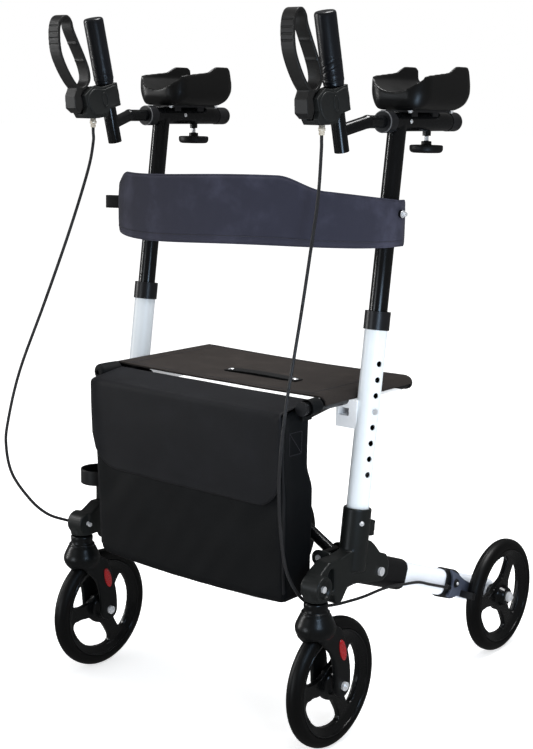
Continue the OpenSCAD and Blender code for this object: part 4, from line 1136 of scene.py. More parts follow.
@dataclass
class Wheels:
    """Tyres, rims and forks."""

    half_width: float = 13.0
    rim_r: float = 84.5
    shoulder: float = 12.0
    bead_r: float = 82.6
    bead_x: float = 10.9
    fork_face: float = 25.4
    axle_half: float = 29.3
    rear_axle_x: float = 270.9
    stem: Point = (-42.0, 226.5)
    stem_thin: float = 0.14
    stem_drop: float = 1.0
    crown_drop: float = 0.7
    reflector: Point = (-6.0, 160.5)
    reflector_half: Point = (18.5, 7.4)
    reflector_lean: float = math.radians(18.4)

    def ease_stem(self, x: np.ndarray, y: np.ndarray, z: np.ndarray) -> Axes:
        """Leaves room round a fork's stem for the swivel."""
        (middle, foot), high = self.stem, np.clip((z - self.stem[1]) / 1.5, 0.0, 1.0)
        share = 1.0 - self.stem_thin * high
        z = z - self.crown_drop * np.clip((z - foot + 6.5) / 5.0, 0.0, 1.0) - self.stem_drop * high
        return WHEEL_X + (x - WHEEL_X) * share, middle + (y - middle) * share, z

    def reflector_dome(self, name: str, side: Side, out: int) -> Mesh:
        """An oval reflector on one outer face of a fork.

        Args:
            name: The mesh's name.
            side: The fork's side.
            out: 1 on the face away from the walker's middle, and -1 on the other.

        Returns:
            The mesh.
        """
        c, s = math.cos(self.reflector_lean), math.sin(self.reflector_lean)
        (mid_y, mid_z), rings = self.reflector, []
        for share, lift in ((1.0, -0.6), (1.0, 0.9), (0.96, 1.6), (0.84, 2.1), (0.55, 2.5), (0.12, 2.6)):
            long, tall = (share * half for half in self.reflector_half)
            ovals = [(long * math.cos(a), tall * math.sin(a)) for a in turns(40)]
            places = [(mid_y + p * s + q * c, mid_z - p * c + q * s) for p, q in ovals]
            rings.append([side.of(at(WHEEL_X + out * (self.fork_face + lift), *p)) for p in places])
        return lofted(name, rings)

    def trim(self, shop: Workshop, side: Side) -> None:
        """Adds the reflectors, rim beads and domed axle ends of one side."""
        tag, way = side.tag, side.value
        for word, out in (("outer", 1), ("inner", -1)):
            name = f"fork_reflector_{word}_{tag}"
            dome = piece_of(name, self.reflector_dome(name, side, out), RED)
            shop.carry(dome, shop.body_of(f"caster_fork_{tag}"))
        for kind, y in (("caster", 0.0), ("rear", WHEELBASE)):
            ring = [(y + self.bead_r * math.cos(a), WHEEL_R + self.bead_r * math.sin(a)) for a in turns(96)]
            beads = [[side.of(at(WHEEL_X + d * self.bead_x, *p)) for p in ring] for d in (1, -1)]
            made = shop.pipe(f"{kind}_rim_beads_{tag}", beads, 0.0017, RIM_BLACK, closed=True)
            shop.carry(made, shop.body_of(f"{kind}_rim_{tag}"))
        spots = [(d, (WHEEL_X + d * self.axle_half, 0.0, WHEEL_R)) for d in (1, -1)]
        ends = [(side.of(at(*spot)), (d * way, 0.0, 0.0)) for d, spot in spots]
        axle = shop.body_of(f"caster_axle_{tag}")
        shop.fasten(f"caster_axle_domes_{tag}", ends, (0.0050, 0.0030), axle, sides=24, taper=0.5)
        rear = [(side.of(at(self.rear_axle_x, WHEELBASE, WHEEL_R)), (way, 0.0, 0.0))]
        shop.fasten(f"rear_axle_dome_{tag}", rear, (0.0058, 0.0045), f"frame_{tag}", sides=24, taper=0.5)

    def tyre_profile(self) -> list[Point]:
        """The tyre's section as radius from the wheel's axle less the wheel's radius, and width."""
        w, r = self.half_width, self.shoulder
        points = [(self.rim_r, -w + 1.2), (self.rim_r + 2.0, -w + 0.2), (WHEEL_R - r, -w)]
        for k in range(1, 9):
            a = math.radians(180 + 90 * k / 8)
            points.append((WHEEL_R - r - r * math.sin(a), -(w - r) + r * math.cos(a)))
        points += [(WHEEL_R, -0.9), (WHEEL_R - 0.5, -0.5)]
        return points + [(p, -q) for p, q in reversed(points)]

    def build(self, shop: Workshop) -> None:
        """Makes the wheels of both sides."""
        section = [((p - WHEEL_R) / 1000.0, q / 1000.0, 0.0) for p, q in self.tyre_profile()]
        for side in Side:
            for kind, y in (("caster", 0.0), ("rear", WHEELBASE)):
                middle = side.of(at(WHEEL_X, y, WHEEL_R))
                name = f"{kind}_tyre_{side.tag}"
                sizes = {"Radius": WHEEL_R / 1000.0, "Steps": 128, "Middle": tuple(middle)}
                profile = guide(name, [section], closed=True)
                made = shop.hoop.run(f"{name}_moulded", profile, TYRE_RUBBER, **sizes)
                outward(made.data)
                shop.stand_for(made, name)
                shop.cast_copy(f"{kind}_rim_{side.tag}", RIM_BLACK, 0.0014, 5)
            reshape(shop.cast_copy(f"caster_fork_{side.tag}", FORK_BLACK, 0.0014, 8), side, self.ease_stem)
            shop.dress(f"caster_axle_{side.tag}", STEEL)
            self.trim(shop, side)


@dataclass
class SideFrames:
    """Castings, posts, legs, rear brakes and bolts."""

    socket_screw: Point = (258.6, 55.4, 339.7)
    socket_turn: float = math.radians(-31.0)
    brake_bolt: Point = (21.5, -135.0, 4.0)
    nose_bolt: Point = (231.2, -42.0, 261.58)
    shoe_x: float = 231.7
    band_nut: Point = (265.6, 127.3, 805.5)

    def trim(self, shop: Workshop, side: Side) -> None:
        """Adds the screw, bolts and nut of one side."""
        tag, way = side.tag, side.value
        frame, out = f"frame_{tag}", (way, 0, 0)
        turn = Vector((way * math.cos(self.socket_turn), math.sin(self.socket_turn), 0.0))
        screw = [(side.of(at(*self.socket_screw)), turn)]
        shop.fasten(f"socket_screw_{tag}", screw, (0.0029, 0.0018), frame, sides=20, taper=0.55)
        brake = [(side.of(on_leg(*self.brake_bolt)), out)]
        ring = shop.bolt(f"brake_bolt_ring_{tag}", brake, 0.0058, 0.0014, 24, 0.9, PLASTIC)
        shop.carry(ring, frame)
        shop.fasten(f"brake_bolt_{tag}", brake, (0.0042, 0.0042), frame, sides=24, taper=0.6)
        nose = [(side.of(at(*self.nose_bolt)), (-way, 0, 0))]
        shop.fasten(f"nose_bolt_inner_{tag}", nose, (0.0044, 0.0058), frame, taper=0.8)
        nut = [(side.of(at(*self.band_nut)), out)]
        shop.fasten(f"band_nut_{tag}", nut, (0.0044, 0.0070), f"post_{tag}", taper=0.75)

    def darken_shoe(self, arm: Object) -> None:
        """Gives the shoe at a brake arm's end its own black."""
        arm.data.materials.append(PLASTIC.make())
        for face in arm.data.polygons:
            face.material_index = int(abs(face.center.x) * 1000.0 > self.shoe_x)

    def build(self, shop: Workshop) -> None:
        """Makes what the two side frames carry."""
        for side in Side:
            tag = side.tag
            shop.cast_copy(f"base_casting_{tag}", CASTING, 0.0015, 7)
            shop.cast_copy(f"leg_fittings_{tag}", PLASTIC, 0.0011, 5)
            self.darken_shoe(shop.cast_copy(f"brake_arm_{tag}", SLATE, 0.0008, 5))
            for node, finish in (
                ("lower_post", WHITE_PAINT), ("post_collar", PLASTIC), ("upper_post", BLACK_PAINT),
                ("rear_leg", LEG_PAINT), ("seat_saddle", WHITE_PLASTIC), ("frame_bolts", STEEL),
                ("rail_caps", PLASTIC), ("snap_button", STEEL), ("arm_tube_fittings", PLASTIC),
                ("pad_plate", PLASTIC), ("handle_post", BLACK_PAINT),
            ):
                shop.dress(f"{node}_{tag}", finish)
            self.trim(shop, side)
        for node in ("brace_front", "brace_rear"):
            shop.dress(node, BLACK_PAINT)
        shop.cast_copy("cane_cup", PLASTIC, 0.0009, 4)


@dataclass
class Handles:
    """Grips, brake levers, housings, forearm pads and knobs."""

    grip_grooves: Sequence[Point] = ((118.0, 0.55), (127.0, 0.55))
    grip_rings: Sequence[float] = (101.5, 196.5)
    grip_span: Point = (96.0, 105.0)
    grip_r: float = 16.0
    grip_dent: Point = (0.6, 0.9)
    lever_half: float = 10.2
    lever_limbs: Point = (-80.0, -60.0)
    lever_dent: Point = (1.3, 0.95)
    lever_bump: Point = (1.4, 2.2)
    lever_grooves: Sequence[float] = (207.0, 197.0, 188.0, 179.0)
    lever_ridges: Sequence[float] = (172.0, 143.0)
    housing_plate: Sequence[Point] = (
        (10, 62), (11, 90), (-8, 92), (-19, 91.5), (-40, 97), (-55, 89),
        (-57, 76), (-50, 60), (-38, 54), (-20, 53), (-10, 60),
    )
    housing_face: float = 15.0
    pad_ends: Point = (128.94, 274.94)
    pad_heights: Point = (958.26, 1025.26)
    pad_under: float = 0.45
    pad_reach: float = 45.0
    barrel: Point = (228.0, -30.06, 921.7)
    barrel_profile: Sequence[Turning] = (
        (0.0, 3.7, False), (0.4, 4.2, False), (6.0, 4.2, False), (6.4, 5.6, True),
        (10.4, 5.6, True), (10.8, 4.4, False), (15.0, 4.4, False),
    )
    knob_stud: Point = (240.0, 226.94, 911.8)
    pad_bolt_z: float = 957.9
    arm_front: float = 104.4
    arm_rim_r: float = 15.7

    def local(self, y: np.ndarray, z: np.ndarray) -> tuple[np.ndarray, np.ndarray]:
        """The walker's y and z as the handle's own."""
        c, s = math.cos(HANDLE_LEAN), math.sin(HANDLE_LEAN)
        dy, dz = y - HANDLE_FOOT[0], z - HANDLE_FOOT[1]
        return dy * c + dz * s, dz * c - dy * s

    def walker(self, y: np.ndarray, z: np.ndarray) -> tuple[np.ndarray, np.ndarray]:
        """The handle's own y and z as the walker's."""
        c, s = math.cos(HANDLE_LEAN), math.sin(HANDLE_LEAN)
        return y * c - z * s + HANDLE_FOOT[0], y * s + z * c + HANDLE_FOOT[1]

    def press_grip(self, x: np.ndarray, y: np.ndarray, z: np.ndarray) -> Axes:
        """Presses slanted grooves and end rings into a grip."""
        x, (y, z) = x - HANDLE_X, self.local(y, z)
        slanted = [dent(z - up - slant * x, self.grip_dent) for up, slant in self.grip_grooves]
        level = [dent(z - up, self.grip_dent) for up in self.grip_rings]
        depth = sum(slanted) * (x - y > 4.0) + sum(level)
        far = np.maximum(np.hypot(x, y), 1.0)
        row = np.clip(np.rint(z - self.grip_span[0]), 0, self.grip_span[1]).astype(int)
        widest = np.zeros(int(self.grip_span[1]) + 1)
        np.maximum.at(widest, row, far)
        outer = (row < self.grip_span[1] - 5) & (far > 0.8 * widest[row])
        body = np.clip((row - 4.0) / 4.0, 0.0, 1.0) * outer
        share = 1.0 + body * ((self.grip_r - depth) / np.maximum(widest[row], 1.0) - 1.0)
        x, y = x * share, y * share
        return (x + HANDLE_X, *self.walker(y, z))

    def press_lever(self, x: np.ndarray, y: np.ndarray, z: np.ndarray) -> Axes:
        """Presses finger grooves into a lever's outer limb, and raises two ridges on its inner one."""
        y, z = self.local(y, z)
        inside = np.abs(x - HANDLE_X) < self.lever_half
        outer, inner = self.lever_limbs
        for height in self.lever_grooves:
            y = y + dent(z - height, self.lever_dent) * ((y < outer) & inside)
        for height in self.lever_ridges:
            y = y - dent(z - height, self.lever_bump) * ((y > inner) & inside)
        return (x, *self.walker(y, z))

    def plump(self, x: np.ndarray, y: np.ndarray, z: np.ndarray) -> Axes:
        """Rounds a pad's underside, and swells its sides and its rear."""
        wide, (front, rear), (low, high) = x - POST_X, self.pad_ends, self.pad_heights
        up = np.clip((z - low) / (high - low), 0.0, 1.0)
        under = np.maximum(0.0, 1.0 - up / self.pad_under) ** 2
        swell = np.sin(np.pi * up) * np.clip((np.abs(wide) - 30.0) / 19.0, 0.0, 1.0)
        wide = wide * (1.0 - 0.15 * under) + np.sign(wide) * 2.2 * swell
        ahead = np.clip(1.0 - (y - front) / self.pad_reach, 0.0, 1.0)
        behind = np.clip(1.0 - (rear - y) / self.pad_reach, 0.0, 1.0)
        y = y + 6.0 * under * ahead - 11.0 * under * behind + 6.5 * np.sin(np.pi * up) * behind ** 2
        return wide + POST_X, y, z

    def side_plate(self, name: str, side: Side, out: int) -> Object:
        """A raised plate with a soft rim on one side of a brake housing.

        Args:
            name: The piece's name.
            side: The handle's side.
            out: 1 on the face away from the walker's middle, and -1 on the other.

        Returns:
            The piece.
        """
        line = smooth_path([(y, z, 0.0) for y, z in self.housing_plate], 4, closed=True)
        middle = sum(line, Vector()) / len(line)
        rings = []
        for share, lift in ((1.0, -0.8), (1.0, 0.5), (0.97, 1.1), (0.90, 1.4), (0.84, 0.9), (0.10, 0.9)):
            spots = [middle + (p - middle) * share for p in line]
            rings.append([side.of(on_handle(out * (self.housing_face + lift), p.x, p.y)) for p in spots])
        return piece_of(name, lofted(name, rings), HOUSING_BLACK)

    def turned(
        self, name: str, middle: Point, profile: Sequence[Turning], side: Side, finish: Finish
    ) -> Object:
        """An upright turned fitting.

        Args:
            name: The piece's name.
            middle: Its x and y on the right side.
            profile: Its height, radius and whether it is hexagonal there, from below.
            side: The side that it is made for.
            finish: What it is dressed in.

        Returns:
            The piece.
        """
        rings, sixth = [], math.pi / 6
        for z, r, hexagonal in profile:
            ring = []
            for a in turns(36):
                flat = math.cos(sixth) / math.cos((a % (math.pi / 3)) - sixth) if hexagonal else 1.0
                far = r * flat
                ring.append(side.of(at(middle[0] + far * math.cos(a), middle[1] + far * math.sin(a), z)))
            rings.append(ring)
        return piece_of(name, lofted(name, rings), finish)

    def trim(self, shop: Workshop, side: Side) -> None:
        """Adds the plates, barrel, stud, bolts and rim of one side."""
        tag, way = side.tag, side.value
        post, handle = f"post_{tag}", f"handle_{tag}"
        for word, out in (("outer", 1), ("inner", -1)):
            plate = self.side_plate(f"housing_plate_{word}_{tag}", side, out)
            shop.carry(plate, handle)
            ring = [(-20.0 + 5.5 * math.cos(a), 76.0 + 11.0 * math.sin(a)) for a in turns(40)]
            oval = [side.of(on_handle(out * (self.housing_face + 1.0), *p)) for p in ring]
            made = shop.pipe(f"housing_oval_{word}_{tag}", [oval], 0.0008, HOUSING_BLACK, closed=True)
            shop.carry(made, handle)
        x, y, z = self.barrel
        sleeve = [(z + up, r, hexagonal) for up, r, hexagonal in self.barrel_profile]
        shop.carry(self.turned(f"cable_barrel_{tag}", (x, y), sleeve, side, BRASS), handle)
        x, y, z = self.knob_stud
        thread = [(z + 0.35 * k, 3.35 if k % 2 else 3.1, False) for k in range(22)]
        stud = self.turned(f"knob_stud_{tag}", (x, y), thread, side, STEEL)
        shop.carry(stud, f"knob_{tag}")
        spots = [(POST_X + dx, y, self.pad_bolt_z) for dx in (-24.0, 24.0) for y in (141.0, 257.0)]
        heads = [(side.of(at(*spot)), (0, 0, -1)) for spot in spots]
        shop.fasten(f"pad_bolts_{tag}", heads, (0.0030, 0.0036), post)
        spots = [(d, (POST_X + d * 14.1, y, ARM_Z + 1.0)) for d, y in ((1, 161.0), (-1, 190.0))]
        screws = [(side.of(at(*spot)), (d * way, 0, 0)) for d, spot in spots]
        shop.fasten(f"arm_screws_{tag}", screws, (0.0025, 0.0018), post, sides=20, taper=0.6)
        # A thin ring in pale grey paints the highlight along the arm collar's front rim.
        ring = [(self.arm_rim_r * math.cos(a), self.arm_rim_r * math.sin(a)) for a in turns(48)]
        rim = [side.of(at(POST_X + dx, self.arm_front, ARM_Z + dz)) for dx, dz in ring]
        made = shop.pipe(f"arm_rim_{tag}", [rim], 0.0010, HIGHLIGHT_RIM_GREY, closed=True)
        shop.carry(made, post)

    def build(self, shop: Workshop) -> None:
        """Makes both handles."""
        for side in Side:
            tag = side.tag
            reshape(shop.cast_copy(f"hand_grip_{tag}", GRIP_SKIN, 0.0009, 4), side, self.press_grip)
            reshape(shop.cast_copy(f"brake_lever_{tag}", LEVER_BLACK, 0.0008, 4), side, self.press_lever)
            shop.cast_copy(f"brake_housing_{tag}", HOUSING_BLACK, 0.0009, 4)
            shop.cast_copy(f"clamp_knob_{tag}", PLASTIC, 0.0008, 4)
            pad = shop.cast_copy(f"forearm_pad_{tag}", PAD_SKIN, 0.0016, 22)
            reshape(pad, side, self.plump)
            self.trim(shop, side)


@dataclass
class Seat:
    """Seat cloth over the two rails, with its pull strap."""

    front: float = 8.0
    rear: float = 240.0
    thick: float = 3.4
    sag: float = 2.0
    wrap: float = 13.3
    strap: Point = (40.0, 82.0, 146.0, 20.0)

    def section(self) -> list[Point]:
        """The cloth's upper side across the rails as x and z, from the left to the right."""
        wrap, reach = self.wrap, 14
        angles = [math.radians(89 * k / reach) for k in range(reach + 1)]
        right = [(RAIL_X + wrap * math.sin(a), RAIL_Z + wrap * math.cos(a)) for a in angles]
        left = [(-x, z) for x, z in reversed(right)]
        flat = [(-RAIL_X + 2 * RAIL_X * k / 60, RAIL_Z + wrap) for k in range(1, 60)]
        return left + flat + right

    def across_fold(self, made: Object) -> Object:
        """Bakes a piece's place into its mesh."""
        at(RAIL_X, 0, RAIL_Z)
        at(-RAIL_X, 0, RAIL_Z)
        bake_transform(made)
        return made

    def lie(self, x: float, y: float, z: float) -> Vector:
        """A point of the cloth with its sag and the puckers beside the rails."""
        inside = max(0.0, 1.0 - (x / RAIL_X) ** 2)
        pucker = 0.5 * math.exp(-(((abs(x) - 188.0) / 12.0) ** 2)) * math.sin(y * 2 * math.pi / 17.0)
        wave = 0.8 * noise.noise(Vector((x * 0.012, y * 0.015, 3.0)))
        return at(x, y, z - (self.sag * inside) + (pucker + wave) * min(1.0, inside * 6.0))

    def build(self, shop: Workshop) -> None:
        """Makes the seat."""
        line = self.section()
        far = runs([Vector((x, 0, z)) for x, z in line])
        count, rows = len(line) - 1, 44

        def place(u: float, v: float) -> Vector:
            """The cloth's point at two shares of its width and depth."""
            x, z = line[round(u * count)]
            return self.lie(x, self.front + (self.rear - self.front) * v, z)

        def size(u: float, v: float) -> Point:
            """The cloth lengths there."""
            return far[round(u * count)] / 1000.0, (self.rear - self.front) * v / 1000.0

        made = piece_of("seat_cloth", gridded("seat_cloth", place, size, count, rows), SEAT_CLOTH)
        thickened(made, self.thick / 1000.0, -1.0, 0.0009)
        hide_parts("seat_sling")
        self.across_fold(shop.note(made))
        flat = (far[-1] / 1000.0, (self.rear - self.front) / 1000.0)
        top = RAIL_Z + self.wrap
        across, along, hems = range(-196, 197, 7), range(14, 235, 4), (self.front + 9, self.rear - 9)
        lines = [[self.lie(x, y, top + 0.2) for x in across] for y in hems]
        lines += [[self.lie(s * (RAIL_X - 22), y, top + 0.2) for y in along] for s in (-1, 1)]
        seams = shop.sew("seat_stitches", lines)
        self.across_fold(seams)
        self.build_strap(shop, top)

    def build_strap(self, shop: Workshop, top: float) -> None:
        """Makes the pull strap and its rivets.

        Args:
            shop: The workshop.
            top: The height of the seat's upper side.
        """
        x0, y0, length, width = self.strap

        def place(u: float, v: float) -> Vector:
            """The strap's point at two shares of its length and width."""
            rise = 2.4 * math.sin(math.pi * u) ** 0.7
            return self.lie(x0 + (u - 0.5) * length, y0 + (v - 0.5) * width, top + 2.2 + rise)

        def size(u: float, v: float) -> Point:
            """The cloth lengths there."""
            return u * length / 1000.0, v * width / 1000.0

        strap = piece_of("seat_pull_strap", gridded("seat_pull_strap", place, size, 48, 8), WEBBING)
        thickened(strap, 0.0018, -1.0, 0.0005)
        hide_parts("pull_strap")
        self.across_fold(shop.note(strap))
        spots = [(self.lie(x0 + s * (length / 2 - 9), y0, top + 2.4), (0, 0, 1)) for s in (-1, 1)]
        rivets = shop.bolt("strap_rivets", spots, 0.0048, 0.0016, 20, 0.6, STEEL)
        self.across_fold(rivets)


@dataclass
class StorageBag:
    """Storage bag with its flap, piping and rail sleeves."""

    half: float = 198.0
    rear: float = 2.0
    full_rear: float = 15.0
    top_depth: float = 67.0
    toe_depth: float = 57.0
    top_z: float = 503.58
    low_z: float = 223.58
    back_rise: float = 20.0
    front_rise: float = 11.0
    draw_in: float = 9.0
    keep: float = 0.345
    gather_x: float = 187.0
    toe_r: float = 16.0
    girth: float = 0.94

    def front(self, z: float) -> float:
        """The front panel's place at a height."""
        share = (self.top_z - z) / (self.top_z - self.low_z)
        return self.rear - self.top_depth + (self.top_depth - self.toe_depth) * share

    def back(self, z: float) -> float:
        """The rear panel's place at a height, full below and drawn in under the seat."""
        share = clamp((self.top_z - z - 75.0) / 40.0)
        return self.rear + (self.full_rear - self.rear) * share * share * (3.0 - 2.0 * share)

    def depth(self, y: float, z: float) -> float:
        """The share of the way from the front panel to the rear one."""
        return (y - self.front(z)) / max(self.back(z) - self.front(z), 1.0)

    def crumple(self, made: Object) -> Object:
        """Gives a piece its own copy of its mesh."""
        at(self.gather_x, 0, RAIL_Z)
        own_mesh(made)
        return made

    def ring(self, z: float, inset: float) -> tuple[list[Point], list[float]]:
        """The bag's outline at a height.

        Args:
            z: The height.
            inset: How far the outline is drawn in.

        Returns:
            The outline's points as x and y, and the length along it at each.
        """
        x1, y0, y1 = self.half - inset, self.front(z) + inset, self.back(z) - inset
        r = min(9.0, (y1 - y0) / 2 - 0.3)
        corners = [(x1 - r, y0 + r, -90), (x1 - r, y1 - r, 0), (-x1 + r, y1 - r, 90), (-x1 + r, y0 + r, 180)]
        counts = (8, 44, 8, 44)
        line: list[Point] = []
        for (cx, cy, a0), straight, (nx, ny, a1) in zip(corners, counts, corners[1:] + corners[:1]):
            angles = [math.radians(a0 + 18 * k) for k in range(6)]
            arc = [(cx + r * math.cos(a), cy + r * math.sin(a)) for a in angles]
            (x, y), a = arc[-1], math.radians(a1)
            dx, dy = nx + r * math.cos(a) - x, ny + r * math.sin(a) - y
            line += arc
            line += [(x + dx * k / straight, y + dy * k / straight) for k in range(1, straight)]
        return line, runs([Vector((x, y, 0)) for x, y in line])

    def slump(self, x: float, y: float, z: float) -> Vector:
        """A point of the bag's cloth with its belly, its folds and its drawn-in sides."""
        up = (z - self.low_z) / (self.top_z - self.low_z)
        fall = math.sin(math.pi * clamp(up))
        depth = self.depth(y, z)
        wide = max(0.0, 1.0 - (x / self.half) ** 2)
        ahead = max(0.0, 1.0 - 3.0 * depth)
        fold = noise.noise(Vector((x * 0.011 + z * 0.006, z * 0.008, 1.7)))
        crease = noise.noise(Vector((x * 0.03 - z * 0.02, z * 0.014, 7.1)))
        y -= ahead * (4.5 * wide * fall + 3.2 * fold * fall + 1.5 * crease)
        side = abs(x) / self.half
        if side > 0.93:
            hollow = 7.0 * math.sin(math.pi * clamp(depth)) * (0.35 + 0.65 * up) + 1.2 * (fold + 0.5)
            x -= math.copysign(hollow * (side - 0.93) / 0.07, x)
        if x < 0.0:
            x += self.draw_in * (1.0 - clamp(up)) * (-x / self.half) ** 3
        z -= 6.5 * wide * (1.0 - min(1.0, max(up, 0.0) * 3.0))
        return at(x, y, z)

    def build(self, shop: Workshop) -> None:
        """Makes the bag, its piping and its sleeves."""
        rings, lengths = [], []
        toe, tall = self.toe_r, self.top_z - self.low_z
        angles = [math.radians(15 * k) for k in range(6, -1, -1)]
        rows = [(self.low_z, 20.2), (self.low_z, 18.0)]
        rows += [(self.low_z + toe * (1 - math.sin(a)), toe * (1 - math.cos(a))) for a in angles]
        rows += [(self.low_z + toe + (tall - toe) * k / 56, 0.0) for k in range(1, 57)]
        for z, inset in rows:
            outline, along = self.ring(z, inset)
            slant = max(0.0, (z - self.low_z - 40.0) / (tall - 40.0))
            shares = [clamp(self.depth(y, z)) for _, y in outline]
            rise, more = self.front_rise, self.back_rise - self.front_rise
            lifted = [z + slant ** 4 * (rise + more * share) for share in shares]
            rings.append([self.slump(x, y, h) for (x, y), h in zip(outline, lifted)])
            lengths.append([(a / 1000.0, (h - self.low_z) / 1000.0) for a, h in zip(along, lifted)])
        mesh = lofted("storage_bag_cloth", rings, lengths, closed_end=False)
        made = piece_of("storage_bag_cloth", mesh, BAG_CLOTH)
        thickened(made, 0.0022, -1.0)
        shop.stand_for(made, "storage_bag")
        self.crumple(made)
        edge, heights = self.half - 3.0, range(242, 503, 6)
        edges = [[self.slump(s * edge, self.front(z) + 3.0, z) for z in heights] for s in (-1, 1)]
        piping = shop.pipe("bag_piping", edges, 0.0022)
        self.crumple(shop.carry(piping, "bag"))
        corners = ((-42, 486), (-14, 486), (-14, 452), (-42, 452), (-42, 486), (-14, 452))
        patch = [self.slump(self.half + 0.4, y, z) for y, z in corners]
        patch = [a.lerp(b, k / 12) for a, b in zip(patch, patch[1:]) for k in range(12)]
        seams = shop.sew("bag_side_stitches", [patch])
        self.crumple(shop.carry(seams, "bag"))
        for side in Side:
            sleeve = self.sleeve(side)
            shop.carry(sleeve, "bag" if side is Side.RIGHT else "brace_rear")
        FlapOver(self).build(shop)

    def sleeve(self, side: Side) -> Object:
        """A loop of cloth round the front end of a rail.

        Args:
            side: The rail's side.

        Returns:
            The piece.
        """
        gathered = side is Side.LEFT
        r, front, rear = (13.0, -41.0, 2.0) if gathered else (12.0, -24.0, 0.0)
        angles = [math.radians(a) for a in range(190, -131, -10)]
        loop = [(RAIL_X + r * math.cos(a), RAIL_Z + r * math.sin(a)) for a in angles]
        path = [(RAIL_X - 9.0, RAIL_Z - 22.0), *loop, (RAIL_X - 8.4, RAIL_Z - 22.0)]
        far = runs([Vector((x, 0, z)) for x, z in path])
        count = len(path) - 1

        def place(u: float, v: float) -> Vector:
            """The loop's point at two shares of its path and length."""
            x, z = path[round(u * count)]
            ripple = 0.5 * math.sin(6 * u * math.pi) * math.sin(math.pi * v)
            drawn = 1.0 - 0.7 * max(0.0, 1.0 - v / 0.16) ** 2 if gathered else 1.0
            x, z = RAIL_X + (x - RAIL_X) * drawn, RAIL_Z + (z - RAIL_Z) * drawn + ripple
            return side.of(at(x, front + (rear - front) * v, z))

        def size(u: float, v: float) -> Point:
            """The cloth lengths there."""
            return far[round(u * count)] / 1000.0, v * (rear - front) / 1000.0

        name = f"bag_sleeve_{side.tag}"
        mesh = gridded(name, place, size, count, 16)
        made = piece_of(name, mesh, BAG_CLOTH)
        thickened(made, 0.0014, 0.0)
        outward(made.data)
        return made


@dataclass
class FlapOver:
    """The bag's flap: a sheet that goes over the top and hangs down the front."""

    bag: StorageBag
    half: float = 194.0
    drop: float = 129.0
    corner: float = 52.0

    def path(self) -> list[Point]:
        """The flap's outer side from its rear edge as y and z."""
        bag = self.bag
        back_z, edge_z = bag.top_z + bag.back_rise + 5.5, bag.top_z + bag.front_rise + 5.5
        edge_y = bag.front(bag.top_z) - 4.0
        points = [
            (bag.rear, back_z), (-20, back_z - 2.5), (-44, edge_z + 3.0), (-60, edge_z + 0.8),
            (edge_y + 3.0, edge_z - 0.6), (edge_y + 0.6, edge_z - 3.4), (edge_y, edge_z - 12.0),
            (bag.front(bag.top_z - 60) - 4.0, bag.top_z - 60.0),
            (bag.front(bag.top_z - self.drop) - 4.0, bag.top_z + 2.5 - self.drop),
        ]
        return [(p.x, p.y) for p in smooth_path([(y, z, 0.0) for y, z in points], 8)]

    def build(self, shop: Workshop) -> None:
        """Makes the flap with its piping and stitches."""
        line = self.path()
        far = runs([Vector((y, z, 0)) for y, z in line])
        columns, rows = 72, 64

        def spot(along: float) -> Point:
            """The path's point at a length along it."""
            return tuple(float(np.interp(along, far, row)) for row in zip(*line))

        def reach(x: float) -> float:
            """How long the flap is at a place across it."""
            over = max(0.0, abs(x) - (self.half - self.corner))
            rounded = self.corner - math.sqrt(max(0.0, self.corner ** 2 - over ** 2))
            return far[-1] - rounded + 3.0 * math.sin((x / self.half + 0.2) * 1.4)

        def place(u: float, v: float, lift: float = 0.0) -> Vector:
            """The flap's point at two shares of its width and length."""
            x = (2 * u - 1) * self.half
            along = v * reach(x)
            y, z = spot(along)
            wide = 1.0 - (x / self.half) ** 2
            down = clamp((along - 60.0) / 60.0)
            fold = noise.noise(Vector((x * 0.012, along * 0.014, 11.3)))
            belly = 2.6 * wide * math.sin(math.pi * min(1.0, (along - 60.0) / 140.0))
            dip = 4.5 * wide * math.sin(math.pi * min(1.0, along / 76.0))
            y -= down * (belly + 1.6 * fold) + lift
            z -= (1.0 - down) * (dip - 0.8 * fold) - lift * (1.0 - down)
            return at(x, y, z)

        def size(u: float, v: float) -> Point:
            """The cloth lengths there."""
            x = (2 * u - 1) * self.half
            return (x + self.half) / 1000.0, v * reach(x) / 1000.0

        made = piece_of("bag_flap_cloth", gridded("bag_flap_cloth", place, size, columns, rows), FLAP_CLOTH)
        thickened(made, 0.0022, -1.0, 0.0006)
        shop.stand_for(made, "bag_flap")
        self.bag.crumple(made)
        rim = [place(0.0, k / 40, 0.4) for k in range(41)] + [place(k / 60, 1.0, 0.4) for k in range(1, 61)]
        rim += [place(1.0, 1 - k / 40, 0.4) for k in range(1, 41)]
        miss = [abs(y - line[-1][0] - 3.0) + abs(z - line[0][1] + 10.0) for y, z in line]
        bend = far[miss.index(min(miss))]
        crest = [place(k / 60, bend / reach((k / 30 - 1) * self.half), 0.3) for k in range(61)]
        piping = shop.pipe("flap_piping", [rim, crest], 0.0016)
        self.bag.crumple(shop.carry(piping, "flap"))
        inner = [place(0.03, k / 60 * 0.965, 0.5) for k in range(61)]
        inner += [place(0.03 + 0.94 * k / 90, 0.965, 0.5) for k in range(1, 91)]
        inner += [place(0.97, (1 - k / 60) * 0.965, 0.5) for k in range(1, 61)]
        seams = shop.sew("flap_stitches", [inner])
        self.bag.crumple(shop.carry(seams, "flap"))


